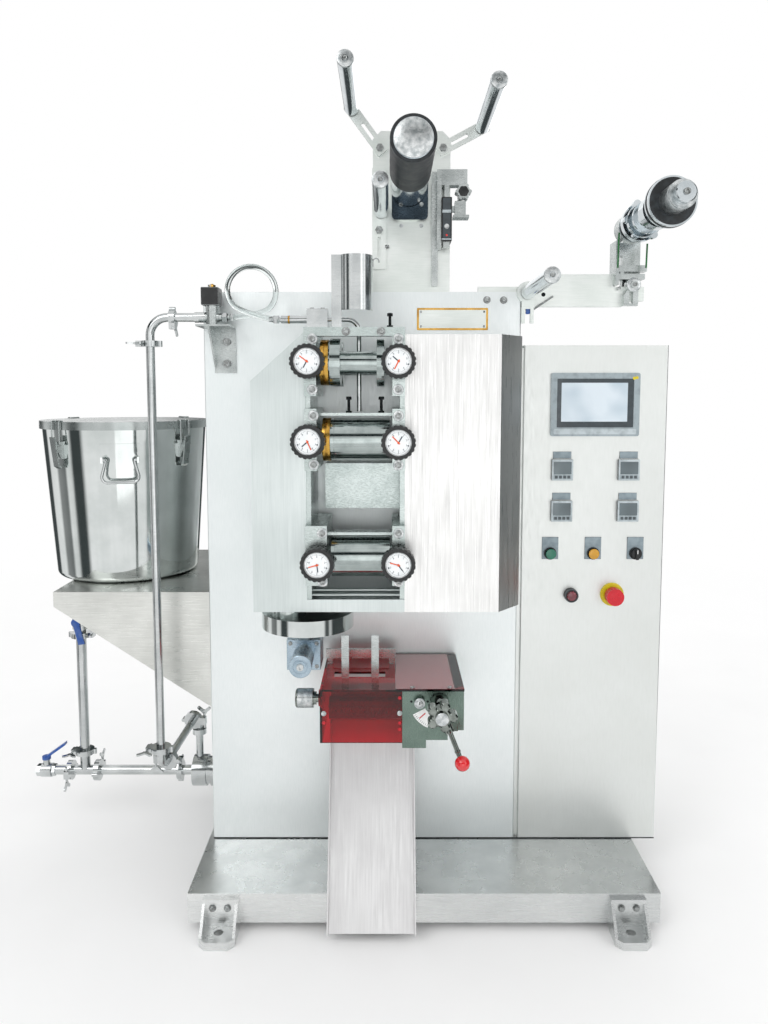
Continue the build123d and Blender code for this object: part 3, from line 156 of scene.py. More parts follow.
finishes = {
    # Bead-blasted sheet: a matt, almost white skin with only a trace of grain.
    "blasted_sheet": worked_steel("blasted_304_sheet", "#F3F7F7", 0.46, (3.0, 3.0, 24.0), 0.06, 10.0, 300.0,
                                  "#DDE4E4", 0.5),
    # Left guard: the same sheet, its greyer tone painted shade, with a faint upright grain.
    "guard_sheet": worked_steel("satin_304_guard", "#DDE4E3", 0.42, (2.4, 2.4, 90.0), 0.08, 16.0, 220.0,
                                "#BCC5C4", 0.5),
    # Control cabinet: the same sheet, a little less even, and a darker tone that is painted shade.
    "panel_sheet": worked_steel("blasted_304_panel", "#E4E7E5", 0.42, (5.0, 5.0, 30.0), 0.08, 10.0, 160.0,
                                "#DDE0DD", 0.6),
    # Guard door: long upright brush lines that catch the light.
    "brushed_sheet": worked_steel("brushed_304_guard", "#F6F6F5", 0.38, (1.8, 1.8, 110.0), 0.14, 40.0, 260.0,
                                  "#C6C6C4", 0.5),
    # Plinth: mill-finished sheet, greyer and glossier, with broad soft patches.
    "mill_sheet": worked_steel("mill_304_sheet", "#F2F3F2", 0.28, (60.0, 60.0, 1.6), 0.08, 14.0, 340.0,
                               "#B2B6B7", 0.6),
    # Shelf under the tank: the same sheet, its darker tone painted shadow of the tank above it, and its patches
    # marked by spills.
    "shelf_sheet": worked_steel("stained_and_shaded_304_shelf", "#E6E7E3", 0.34, (50.0, 50.0, 2.0), 0.10, 16.0, 120.0,
                                "#AFB1AC", 0.5),
    # Chute: thin sheet, smooth from what slides down it.
    "chute_sheet": worked_steel("slid_304_chute", "#D4D4D4", 0.34, (2.0, 90.0, 90.0), 0.06, 8.0, 200.0,
                                "#A7A4A6", 0.4),
    # Film plate: fine-ground plate, nearly white.
    "ground_plate": worked_steel("fine_ground_plate", "#EDF1EE", 0.40, (40.0, 40.0, 2.2), 0.08, 12.0, 90.0,
                                 "#C9D2CC", 0.4),
    # Tank and lid: polished sheet that mirrors the room with soft upright waves; the upright darker streaks and
    # patches in its colour are painted reflection.
    "mirror_sheet": worked_steel("polished_304_tank", "#DDE1E0", 0.07, (30.0, 30.0, 500.0), 0.04, 90.0, 90.0,
                                 "#A5AEAB", 0.4),
    # Lid: satin sheet with the faint rings of its spinning; its darker tone and patches are painted reflection of a
    # dark surround.
    "lid_sheet": worked_steel("satin_304_lid", "#BFC4C3", 0.24, (30.0, 30.0, 30.0), 0.06, 20.0, 80.0,
                              "#8F9796", 0.5),
    # Sanitary tube: polished, with faint rings.
    "bright_tube": worked_steel("polished_316_tube", "#D3D6D6", 0.14, (30.0, 30.0, 2.0), 0.05, 8.0, 60.0,
                                "#8F9596", 0.4),
    # Milled plates and blocks: satin with short cutter marks.
    "milled_plate": worked_steel("milled_steel_plate", "#CBD0CF", 0.28, (8.0, 8.0, 1.4), 0.10, 14.0, 40.0,
                                 "#7E8686", 0.5),
    # Bearing blocks and frames: milled, oilier and greener.
    "oiled_block": worked_steel("oiled_milled_block", "#C2CBC9", 0.28, (6.0, 6.0, 1.6), 0.10, 14.0, 60.0,
                                "#8B9996", 0.4),
    # Gearbox: a hard-chromed block with a grey-green cast.
    "gear_block": worked_steel("chromed_gear_block", "#76877E", 0.30, (2.0, 2.0, 14.0), 0.10, 12.0, 45.0,
                               "#66776F", 0.6),
    # Flange plate behind the film spindle: blued steel, nearly black.
    "blued_plate": worked_steel("blued_steel_flange", "#48545E", 0.24, (6.0, 6.0, 1.6), 0.08, 10.0, 40.0,
                                "#20272C", 0.6),
    # Micrometer block: bright zinc plating, cool blue.
    "zinc_block": worked_steel("bright_zinc_block", "#B4C4CF", 0.30, (9.0, 9.0, 1.8), 0.08, 12.0, 26.0,
                               "#8297A6", 0.5),
    # Star wheel and clamp lever: polished chrome; its dark tone and darker patches are painted reflection of dark
    # surroundings.
    "chrome_painted_reflection": worked_steel("polished_chrome_knob", "#9AA09B", 0.06, (12.0, 12.0, 12.0), 0.03, 6.0, 18.0,
                                "#4E554F", 0.6),
    # Ground rollers: the serration runs along the axis, so the grain is long along X. The darker patches and streaks
    # in their colour are painted dark reflection.
    "ground_drum": worked_steel("serrated_steel_drum", "#B4BDBB", 0.12, (90.0, 3.0, 3.0), 0.08, 40.0, 30.0,
                                "#6C7776", 0.4),
    # Turned spindles and guide rollers: rings thin along Y.
    "turned_spindle": worked_steel("turned_steel_spindle", "#D3D9DC", 0.12, (40.0, 0.9, 40.0), 0.06, 10.0, 60.0,
                                   "#8C979C", 0.4),
    # End discs and washers: faced on a lathe, bright and scratched.
    "faced_disc": worked_steel("scratched_faced_disc", "#E6E8E8", 0.34, (1.6, 1.6, 1.6), 0.14, 30.0, 9.0,
                               "#8F9799", 0.8),
    # Screws: oiled steel, with darker patches mixed into the colour at random.
    "screw_steel": worked_steel("zinc_plated_screw", "#B4B8B8", 0.24, (1.5, 1.5, 1.5), 0.08, 10.0, 7.0,
                                "#54534F", 0.6),
    # Adjusting screws: black oxide.
    "black_oxide": worked_steel("black_oxide_screw", "#2A2D2E", 0.40, (1.5, 1.5, 1.5), 0.10, 12.0, 8.0,
                                "#141516", 0.5),
    # Slip rings, nut and plate rim: turned brass whose tarnish darkens in patches.
    "turned_brass": worked_steel("turned_brass", "#E0B45A", 0.24, (0.8, 30.0, 30.0), 0.08, 20.0, 22.0,
                                 "#8A5C1E", 0.6),
}
print(len(finishes), "metals")

# %% [markdown]
# ## Plastics, rubber and paint
# Moulded plastic shows a faint texture from its mould, rubber is duller, and the acrylic and the hose
# let light through. One function makes the opaque ones from a colour, a gloss and a grain size.

# %% Moulded plastics and rubber
def moulded(name, tone, rough, grain_mm=0.8, bump_um=15.0, patched_tone="#000000", wear_share=0.15, coat=0.0):
    """An opaque moulding: an even colour broken by slight wear, and a fine mould texture."""
    made, tree, shader, place = fresh(name)
    grain = add(tree, "ShaderNodeTexNoise", {"Vector": place, "Scale": 1000.0 / grain_mm, "Detail": 2.0})
    wear = add(tree, "ShaderNodeTexNoise", {"Vector": place, "Scale": 1000.0 / 14.0, "Detail": 4.0})
    share = add(tree, "ShaderNodeMapRange",
                {"Value": wear.outputs["Fac"], "From Min": 0.42, "From Max": 0.68, "To Max": wear_share})
    colour = add(tree, "ShaderNodeMix", {SHARE: share.outputs[0], FIRST: paint(tone), SECOND: paint(patched_tone)},
                 data_type="RGBA")
    bump = add(tree, "ShaderNodeBump", {"Height": grain.outputs["Fac"], "Distance": bump_um * 1e-6})
    swing = add(tree, "ShaderNodeMapRange",
                {"Value": wear.outputs["Fac"], "From Min": 0.35, "From Max": 0.65,
                 "To Min": max(rough - 0.06, 0.02), "To Max": rough + 0.06})
    tree.links.new(colour.outputs[MIXED], shader.inputs["Base Color"])
    tree.links.new(swing.outputs[0], shader.inputs["Roughness"])
    tree.links.new(bump.outputs["Normal"], shader.inputs["Normal"])
    shader.inputs["Coat Weight"].default_value = coat
    return made


finishes.update({
    "black_abs": moulded("black_abs_moulding", "#17191A", 0.38, patched_tone="#4A4D4E"),
    "bezel_abs": moulded("silver_painted_bezel", "#9CA8AD", 0.30, 0.6, 8.0, "#5B676C", 0.4),
    "frame_glass": moulded("smoked_glass_frame", "#2E3A40", 0.08, 2.0, 1.0, "#1B2429", 0.5, 0.5),
    "controller_abs": moulded("dark_abs_controller", "#4B5357", 0.36, patched_tone="#2B3033", wear_share=0.5),
    "key_strip": moulded("grey_key_strip", "#B9C3C7", 0.40, 0.6, 10.0, "#7D888D", 0.5),
    "legend_plate": moulded("anodised_legend_plate", "#8C9AA1", 0.34, 0.5, 6.0, "#6A7981", 0.6),
    "sleeve_rubber": moulded("black_nitrile_sleeve", "#14181B", 0.50, 1.6, 40.0, "#3A4247", 0.5),
    "stop_red": moulded("red_polyamide_mushroom", "#C41425", 0.30, patched_tone="#8E0F1B"),
    "stop_yellow": moulded("yellow_enamel_disc", "#D9C51E", 0.35, patched_tone="#9C8D14", wear_share=0.4),
    "green_cap": moulded("green_polycarbonate_cap", "#0F6A52", 0.20, patched_tone="#0A4436", coat=0.6),
    "backed_acrylic": moulded("red_acrylic_on_steel", "#8E2631", 0.08, 2.0, 1.0, "#5E141D", 0.5, 1.0),
    "amber_cap": moulded("amber_polycarbonate_cap", "#C58F14", 0.20, patched_tone="#8C6410", coat=0.6),
    "lamp_cap": moulded("dark_red_lamp_lens", "#7A1B2C", 0.14, patched_tone="#3B0C14", wear_share=0.6, coat=1.0),
    "ball_red": moulded("red_phenolic_ball", "#D21A22", 0.10, patched_tone="#9A1016", coat=1.0),
    "lever_blue": moulded("blue_vinyl_sleeve", "#1C4F9E", 0.38, patched_tone="#7F8FA6", wear_share=0.3),
    "dial_enamel": moulded("white_dial_enamel", "#EEF1F2", 0.22, 0.5, 3.0, "#C6CDD0", 0.3, 0.4),
    "dial_ink": moulded("blue_black_ink", "#1D2A3A", 0.45, 0.3, 2.0, "#465364", 0.3),
    "pointer_orange": moulded("orange_pointer_paint", "#E4551C", 0.35, 0.4, 2.0, "#A63A12", 0.3),
    "white_strip": moulded("white_printed_strip", "#F0F1F0", 0.35, 0.5, 3.0, "#C9CBCA", 0.3),
    "belt_green": moulded("green_urethane_belt", "#1C6B33", 0.42, 0.5, 8.0, "#0E3F1D", 0.5),
    "led_red": moulded("red_indicator_lens", "#E02A22", 0.12, 0.4, 2.0, "#8C120E", 0.3, 1.0),
})
print(len(finishes), "finishes so far")


# %% Display, red acrylic and clear hose
def lit_display(name, low, high, rough):
    """A switched-off display behind glass: two blues that blend across it, painted reflection of a window's glow."""
    made, tree, shader, place = fresh(name)
    glow = add(tree, "ShaderNodeTexNoise", {"Vector": place, "Scale": 9.0, "Detail": 2.0})
    spread = add(tree, "ShaderNodeMapRange", {"Value": glow.outputs["Fac"], "From Min": 0.35, "From Max": 0.62})
    colour = add(tree, "ShaderNodeMix", {SHARE: spread.outputs[0], FIRST: paint(low), SECOND: paint(high)},
                 data_type="RGBA")
    tree.links.new(colour.outputs[MIXED], shader.inputs["Base Color"])
    shader.inputs["Roughness"].default_value = rough
    shader.inputs["Coat Weight"].default_value = 1.0
    return made


def clear_plastic(name, tone, rough, index, grain_mm):
    """A clear plastic: its colour tints what passes through, and faint scuffs dull its gloss."""
    made, tree, shader, place = fresh(name)
    scuff = add(tree, "ShaderNodeTexNoise", {"Vector": place, "Scale": 1000.0 / grain_mm, "Detail": 5.0})
    dull = add(tree, "ShaderNodeMapRange",
               {"Value": scuff.outputs["Fac"], "From Min": 0.4, "From Max": 0.7,
                "To Min": rough, "To Max": rough + 0.1})
    deep = tuple(channel * 0.85 for channel in paint(tone)[:3]) + (1.0,)
    tint = add(tree, "ShaderNodeMix", {SHARE: scuff.outputs["Fac"], FIRST: deep, SECOND: paint(tone)},
               data_type="RGBA")
    tree.links.new(tint.outputs[MIXED], shader.inputs["Base Color"])
    tree.links.new(dull.outputs[0], shader.inputs["Roughness"])
    shader.inputs["IOR"].default_value = index
    shader.inputs["Transmission Weight"].default_value = 1.0
    return made


finishes["display"] = lit_display("pale_blue_display", "#9FB4C2", "#D3DEE6", 0.16)
finishes["dark_display"] = lit_display("dark_controller_window", "#2F3B40", "#5D6B70", 0.12)
finishes["red_acrylic"] = clear_plastic("clear_red_acrylic", "#D8101F", 0.04, 1.49, 40.0)
finishes["clear_pvc"] = clear_plastic("clear_pvc_hose", "#EEF3F2", 0.10, 1.45, 6.0)
print(len(finishes), "finishes in all")

# %% [markdown]
# ## Dressing the solids
# Each solid gets the finish of the real piece. The solids stay where they are; only the material in
# their slots changes.

# %% Finish of each solid
FINISH = {
    "blasted_sheet": ["main_cabinet"],
    "guard_sheet": ["left_guard", "guard_tray"],
    "panel_sheet": ["control_cabinet"],
    "brushed_sheet": ["right_guard"],
    "mill_sheet": ["base_plinth", "anchor_feet"],
    "shelf_sheet": ["tank_shelf"],
    "chute_sheet": ["discharge_chute"],
    "ground_plate": ["film_plate", "arm_plate"],
    "mirror_sheet": ["tank_shell", "disc_hood"],
    "lid_sheet": ["tank_lid"],
    "bright_tube": [
        "riser_pipe", "suction_pipe", "pump", "filling_tube", "tank_handle_front", "tank_handle_rear", "film_former",
    ],
    "milled_plate": ["photo_eye", "reel_bracket", "solenoid_bracket", "solenoid_valve", "inlet_guides"],
    "oiled_block": ["station_frames"],
    "gear_block": ["cutter_gearbox"],
    "zinc_block": ["micrometer_knob"],
    "chrome_painted_reflection": ["star_handwheel", "clamp_lever", "cutter_side_knob"],
    "ground_drum": [
        "top_roller_front", "top_roller_rear", "middle_roller_front", "middle_roller_rear",
        "lower_roller_front", "lower_roller_rear",
    ],
    "turned_spindle": [
        "film_spindle", "ribbon_spindle", "guide_roller_upper_left", "guide_roller_upper_right",
        "guide_roller_middle", "guide_roller_arm",
    ],
    "black_abs": [
        "dial_wheel_top_left", "dial_wheel_top_right", "dial_wheel_middle_left", "dial_wheel_middle_right",
        "dial_wheel_lower_left", "dial_wheel_lower_right", "selector_switch",
    ],
    "bezel_abs": ["touch_panel"],
    "controller_abs": ["control_fittings"],
    "red_acrylic": ["cutter_cover"],
    "stop_red": ["emergency_stop"],
    "green_cap": ["start_button"],
    "amber_cap": ["pause_button"],
    "lever_blue": ["drain_lever", "tank_valve_lever"],
}
for finish, nodes in FINISH.items():
    for node in nodes:
        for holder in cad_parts[node].material_slots:
            holder.material = finishes[finish]
print("dressed", sum(len(nodes) for nodes in FINISH.values()), "of", len(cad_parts), "solids")

# %% [markdown]
# ## The clear hose
# A short PVC hose makes one standing loop from the valve to the filling tube. It is a smooth curve
# through the same points as the solid's route, so it bends as one piece of hose would.

# %% Clear hose
HOSE_R = 0.006
LOOP_AT, LOOP_R = (-0.374, 1.382), 0.050
VALVE_Y, VALVE_Z, TUBE_Y, TUBE_Z = -0.245, 1.326, -0.315, 1.315
steps = np.arange(8)
turns = np.radians(-67.5 + 45.0 * steps)
reach = LOOP_R / np.cos(np.radians(22.5))
loop = np.stack(
    [LOOP_AT[0] + reach * np.cos(turns), VALVE_Y - 0.004 - 0.0076 * steps, LOOP_AT[1] + reach * np.sin(turns)], 1
)
route = np.vstack([[-0.430, VALVE_Y, VALVE_Z], loop, [-0.322, TUBE_Y, TUBE_Z]])
hose_curve = bpy.data.curves.new("clear_hose_line", "CURVE")
hose_curve.dimensions = "3D"
spline = hose_curve.splines.new("NURBS")
spline.points.add(len(route) - 1)
spline.points.foreach_set("co", np.hstack([route, np.ones((len(route), 1))]).ravel())
spline.order_u = 3
spline.use_endpoint_u = True
spline.resolution_u = 24
hose_curve.bevel_depth = HOSE_R
hose_curve.bevel_resolution = 6
hose_curve.materials.append(finishes["clear_pvc"])
hose = bpy.data.objects.new("feed_hose", hose_curve)
bpy.context.scene.collection.objects.link(hose)
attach(hose, "machine")
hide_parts("clear_hose")
print("hose with", len(route), "points")

# %% [markdown]
# ## Surfaces from a grid
# Small parts could be made with Blender's ready shapes, one by one. Here each is a surface on a grid
# instead: rows run along the part's axis, columns run round it, and numpy works out every point at
# once. Sizes are in millimetres, as on a drawing, until the mesh is made.

# %% Grid surfaces
MM = 0.001
FRONT = (0.0, -1.0, 0.0)
UP = (0.0, 0.0, 1.0)


def directions(axis):
    """The axis as a unit vector, with the two unit vectors square to it. For an axis that points at
    the viewer they are right and up."""
    axis = np.asarray(axis, float) / np.linalg.norm(axis)
    hint = np.array([0.0, 0.0, 1.0]) if abs(axis[2]) < 0.9 else np.array([0.0, 1.0, 0.0])
    side = np.cross(hint, axis)
    side = side / np.linalg.norm(side)
    return axis, side, np.cross(axis, side)


def skin(grid, closed=True):
    """Points and faces of a grid whose columns run round. Each cell joins a point, the next one round,
    and the two above them; the first and last rows are closed by one face each."""
    rows, columns = grid.shape[:2]
    index = np.arange(rows * columns).reshape(rows, columns)
    right = np.roll(index, -1, axis=1)
    faces = np.stack([index[:-1], right[:-1], right[1:], index[1:]], -1).reshape(-1, 4).tolist()
    if closed:
        faces += [index[0, ::-1].tolist(), index[-1].tolist()]
    else:
        faces += np.stack([index[-1], right[-1], right[0], index[0]], -1).tolist()
    return grid.reshape(-1, 3), faces


def turned(profile, at, axis=FRONT, sides=32, shape=None, closed=True):
    """A profile turned about an axis. The point of row i and angle a stands at the centre, plus the
    row's distance along the axis, plus its radius times shape(a, i) towards angle a."""
    axis, side, up = directions(axis)
    profile = np.asarray(profile, float)
    angle = np.arange(sides) * 2 * np.pi / sides
    radius = profile[:, 1:2] * np.ones(sides)
    if shape is not None:
        radius = radius * shape(angle, np.arange(len(profile))[:, None])
    around = np.cos(angle)[:, None] * side + np.sin(angle)[:, None] * up
    grid = np.asarray(at, float) + profile[:, 0, None, None] * axis + radius[..., None] * around
    return skin(grid, closed)


def pressed(rows, at, axis=FRONT, turn=0.0, arc=4):
    """A plate or cap with rounded corners. Each row gives its distance along the axis, half width, half
    height and corner radius; its outline is four quarter circles, one round each corner's centre."""
    axis, side, up = directions(axis)
    turn = np.radians(turn)
    side, up = np.cos(turn) * side + np.sin(turn) * up, np.cos(turn) * up - np.sin(turn) * side
    rows = np.asarray(rows, float)
    angle = (np.repeat(np.arange(4) * 90.0, arc + 1) + np.tile(np.linspace(0, 90, arc + 1), 4)) * np.pi / 180
    sign_x = np.repeat([1, -1, -1, 1], arc + 1)
    sign_z = np.repeat([1, 1, -1, -1], arc + 1)
    corner = rows[:, 3:4]
    across = sign_x * (rows[:, 1:2] - corner) + corner * np.cos(angle)
    upward = sign_z * (rows[:, 2:3] - corner) + corner * np.sin(angle)
    grid = (np.asarray(at, float) + rows[:, 0, None, None] * axis + across[..., None] * side
            + upward[..., None] * up)
    return skin(grid)


def tile(at, half_w, half_h, thick, corner, edge=0.3, axis=FRONT, turn=0.0):
    """A flat plate with rounded corners and a small chamfer round its face."""
    rows = [(0, half_w, half_h, corner), (thick - edge, half_w, half_h, corner),
            (thick, half_w - edge, half_h - edge, max(corner - edge, 0.05))]
    return pressed(rows, at, axis, turn)


def tube(path, radius, sides=12, hint=(0.0, 1.0, 0.0)):
    """A round bar along a path: at each point a circle of the given radius lies square to the path's
    direction, which is the difference of the points on either side."""
    path = np.asarray(path, float)
    radius = np.broadcast_to(np.asarray(radius, float), len(path))
    ahead = np.gradient(path, axis=0)
    ahead = ahead / np.linalg.norm(ahead, axis=1, keepdims=True)
    side = np.cross(np.asarray(hint, float), ahead)
    side = side / np.linalg.norm(side, axis=1, keepdims=True)
    up = np.cross(ahead, side)
    angle = np.arange(sides) * 2 * np.pi / sides
    around = np.cos(angle)[None, :, None] * side[:, None] + np.sin(angle)[None, :, None] * up[:, None]
    return skin(path[:, None] + radius[:, None, None] * around)


made_pieces = {}


def piece(name, skins, finish, body="machine", sharp=35.0):
    """One finished piece: its skins laid end to end in one mesh, smooth except at edges sharper than
    the given angle, in its finish and on the body it moves with."""
    counts = np.cumsum([0] + [len(points) for points, faces in skins])
    faces = [[corner + start for corner in face] for (points, rims), start in zip(skins, counts) for face in rims]
    mesh = bpy.data.meshes.new(name)
    mesh.from_pydata((np.vstack([points for points, rims in skins]) * MM).tolist(), [], faces)
    mesh.polygons.foreach_set("use_smooth", np.ones(len(faces), bool))
    mesh.set_sharp_from_angle(angle=np.radians(sharp))
    mesh.materials.append(finishes[finish])
    made = bpy.data.objects.new(name, mesh)
    bpy.context.scene.collection.objects.link(made)
    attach(made, body)
    made_pieces[name] = len(faces)
    return made


# %% [markdown]
# ## Screws
# Screws are what shows that a machine is put together from parts. A socket screw is turned from one
# profile whose last rows are pinched to a hexagon for the key; a hexagon screw pinches its outer rows
# instead. The faces of a hexagon are found from the angle to the nearest flat.

# %% Socket and hexagon screws
def hexagon(angle):
    """Share of the corner radius that a hexagon reaches at an angle: cos 30 over the cosine of the
    angle from the middle of the nearest flat."""
    return np.cos(np.pi / 6) / np.cos((angle % (np.pi / 3)) - np.pi / 6)


def washer(at, washer_r, axis, sides):
    """A plain washer with its outer edge broken, or nothing where its radius is nought."""
    return [turned([(0, washer_r), (1.1, washer_r), (1.4, washer_r - 0.4)], at, axis, sides)] if washer_r else []


def socket_screw(at, head_r, height, axis=FRONT, washer_r=0.0, sides=18):
    """A cap screw with a hexagon socket, on a washer where one is given."""
    key_r = head_r * 0.56
    base = 1.4 if washer_r else 0.0
    profile = [(base, head_r * 0.98), (base + height - 0.5, head_r), (base + height, head_r - 0.6),
               (base + height, key_r * 1.1), (base + height - 0.3, key_r), (base + height * 0.45, key_r)]
    head = turned(profile, at, axis, sides, lambda a, row: np.where(row >= 4, hexagon(a), 1.0))
    return [head] + washer(at, washer_r, axis, sides)


def hex_screw(at, corner_r, height, axis=FRONT, washer_r=0.0, sides=24):
    """A hexagon-head screw with its rounded crown, on a washer where one is given."""
    base = 1.4 if washer_r else 0.0
    profile = [(base, corner_r), (base + height * 0.8, corner_r), (base + height, corner_r * 0.84)]
    head = turned(profile, at, axis, sides, lambda a, row: np.where(row < 2, hexagon(a), 1.0))
    return [head] + washer(at, washer_r, axis, sides)


def many(maker, places, *sizes, **options):
    """The skins of one kind of screw at several places."""
    return [part for at in places for part in maker(at, *sizes, **options)]


# %% Screws on the roller stations
BLOCK_FACE = -400.0
block_screws = [(-232.4, 1269), (-233, 1166), (-56.5, 1269), (-57, 1166), (-231, 1113), (-231, 1012),
                (-56.5, 1112.5), (-56.8, 1011), (-214.9, 869), (-214.4, 767), (-56, 869), (-56, 767)]
rings = [turned([(0, 11.0), (1.6, 11.0), (2.2, 10.2)], (x, BLOCK_FACE, z), sides=28) for x, z in block_screws]
piece("bearing_cap_rings", rings, "faced_disc")
heads = many(socket_screw, [(x, BLOCK_FACE - 2.2, z) for x, z in block_screws], 6.6, 5.0)
piece("bearing_block_screws", heads, "screw_steel")
beam = many(socket_screw, [(-163.4, -398.0, 1284.0), (-92.2, -398.0, 1284.0)], 6.5, 5.0, washer_r=9.0)
piece("tie_beam_screws", beam, "screw_steel")
print("screws at", len(block_screws), "places on the bearing blocks")

# %% [markdown]
# ## Dial handwheels
# The scalloped wheel rims are solids already. Each holds a position dial: a white enamelled disc with
# ten numbered divisions, a silver ring round it, a long orange hand for tenths and a dark one for whole
# turns. Ticks and hands are thin plates, so they catch light as print and paint do; the figures come
# from Blender's own font, turned to mesh.

# %% Figures for the dials
def figure(text, size_mm, depth_mm):
    """Points and faces of a flat extruded figure, centred on its own middle, in millimetres."""
    letters = bpy.data.curves.new("figure", "FONT")
    letters.body = text
    letters.size = size_mm
    letters.extrude = depth_mm / 2
    letters.resolution_u = 2
    letters.align_x = "CENTER"
    letters.align_y = "CENTER"
    holder = bpy.data.objects.new("figure", letters)
    mesh = bpy.data.meshes.new_from_object(holder)
    points = np.empty(len(mesh.vertices) * 3)
    mesh.vertices.foreach_get("co", points)
    faces = [list(face.vertices) for face in mesh.polygons]
    bpy.data.objects.remove(holder)
    bpy.data.curves.remove(letters)
    bpy.data.meshes.remove(mesh)
    return points.reshape(-1, 3), faces


def stand_up(flat, at):
    """Turns a figure drawn flat in X and Y to face the viewer at a point: X stays, Y becomes Z and its
    thickness runs along Y."""
    points, faces = flat
    return np.stack([points[:, 0], -points[:, 2], points[:, 1]], 1) + np.asarray(at, float), faces


FIGURE_MM = 5.2
figures = [figure(str(k), FIGURE_MM, 0.16) for k in range(10)]
print("ten figures,", sum(len(points) for points, faces in figures), "points")

# %% The six dials
# Name of the wheel, its centre (x, z), and the angles of the orange and dark hands from upright.
DIALS = [
    ("top_left", -239.0, 1222.0, -54.0, 209.0),
    ("top_right", -57.0, 1222.0, 208.0, -50.0),
    ("middle_left", -239.0, 1062.0, 156.0, 229.0),
    ("middle_right", -57.0, 1060.0, -44.0, 30.0),
    ("lower_left", -222.0, 812.0, 255.0, 173.0),
    ("lower_right", -57.0, 812.0, -74.0, 143.0),
]
RECESS = -447.0
FACE_R, FIGURE_R, TICK_R = 24.6, 16.6, 22.4


def hand(centre, angle, length, tail, width):
    """A flat hand: a thin plate whose middle lies along its angle, from the tail to the tip."""
    lean = np.radians(angle)
    middle = (length - tail) / 2
    at = centre + middle * np.array([np.sin(lean), 0.0, np.cos(lean)])
    return tile(at, width / 2, (length + tail) / 2, 0.35, width / 2 - 0.05, 0.12, turn=-angle)


for name, x, z, orange, dark in DIALS:
    body = "dial_wheel_" + name
    face = [(0.0, FACE_R), (0.7, FACE_R), (0.9, FACE_R - 0.3)]
    piece("dial_face_" + name, [turned(face, (x, RECESS, z), sides=48)], "dial_enamel", body)
    rim = [(0.0, 26.8), (1.9, 26.8), (2.4, 26.2), (2.4, 25.6), (1.0, 24.4), (0.0, 24.4)]
    piece("dial_bezel_" + name, [turned(rim, (x, RECESS, z), sides=48, closed=False)], "faced_disc", body)
    marks = []
    for k in range(50):
        angle = k * 7.2
        lean = np.radians(angle)
        long = 2.1 if k % 5 == 0 else 1.1
        spot = np.array([x + (TICK_R - long) * np.sin(lean), RECESS - 0.9, z + (TICK_R - long) * np.cos(lean)])
        marks.append(tile(spot, 0.38 if k % 5 == 0 else 0.22, long, 0.12, 0.1, 0.04, turn=-angle))
    for k, flat in enumerate(figures):
        lean = np.radians(k * 36.0)
        marks.append(stand_up(flat, (x + FIGURE_R * np.sin(lean), RECESS - 0.98, z + FIGURE_R * np.cos(lean))))
    for side in (-1, 1):
        marks.append(turned([(0, 1.5), (0.5, 1.4), (0.7, 1.0)], (x + side * 19.6, RECESS - 0.9, z - 6.0), sides=12))
    centre = np.array([x, RECESS - 1.3, z])
    marks.append(hand(centre, dark, 15.0, 3.0, 2.2))
    piece("dial_marks_" + name, marks, "dial_ink", body)
    hub = turned([(0, 2.4), (1.4, 2.4), (1.8, 1.6)], centre, sides=16)
    pointer = [hand(centre - np.array([0, 0.5, 0]), orange, 18.0, 4.0, 2.2), hub]
    piece("dial_pointer_" + name, pointer, "pointer_orange", body)
print(len(DIALS), "dials, each with 50 ticks and ten figures")

# %% [markdown]
# ## Slip rings and adjusting screws
# The upper two stations are heated, and current reaches their drums through brass rings beside the
# left bearing. The rings are turned bands slipped over the drum's end, so here they are short tubes a
# hair larger than the solid. Black screws between the stations set how hard the scrapers press.

# %% Brass rings
BAND = [(0.0, 0.2), (0.6, 0.5), (8.0, 0.5), (8.6, 0.0), (9.2, 0.5), (16.4, 0.5), (17.0, 0.2),
        (17.0, -3.0), (0.0, -3.0)]
for body, start, ring_r, centre_z, width in (
    ("top_roller_front", -217.0, 46.5, 1222.0, 17.0),
    ("middle_roller_front", -214.0, 45.0, 1062.0, 16.0),
):
    band = [(along * width / 17.0, ring_r + over) for along, over in BAND]
    centre_y = -365.0 if body.startswith("top") else -357.5
    ring = turned(band, (start, centre_y, centre_z), (1.0, 0.0, 0.0), 64, closed=False)
    piece("brass_ring_" + body[:6].rstrip("_"), [ring], "turned_brass", body)
    print(body, "ring", 2 * ring_r, "mm across")


# %% Adjusting screws between the stations
# Each is a black screw with a head below and a lock nut above, standing on its scraper bar.
adjusters = []
for x, y, low, high in ((-160.0, -363.0, 1118.0, 1152.0), (-92.0, -363.0, 1118.0, 1152.0),
                        (-74.0, -386.0, 1293.0, 1322.0)):
    stem = [(0.0, 6.2), (4.0, 6.2), (4.4, 3.0), (high - low - 7.0, 3.0), (high - low - 6.6, 5.8),
            (high - low - 1.0, 5.8), (high - low, 4.6)]
    adjusters.append(turned(stem, (x, y, low), UP, 18,
                            lambda a, row: np.where((row < 2) | (row > 3), hexagon(a), 1.0)))
piece("scraper_adjusting_screws", adjusters, "black_oxide")
print(len(adjusters), "adjusting screws")

# %% [markdown]
# ## Film spindle and guide rollers
# The film reel slides on a black rubber sleeve. The sleeve is one long tube over the steel core, with a
# slightly swollen lip at its front, and the core's end disc shows inside it, faced and scratched by
# years of cores. The guide rollers are chromed tubes closed by a pale disc and one screw.

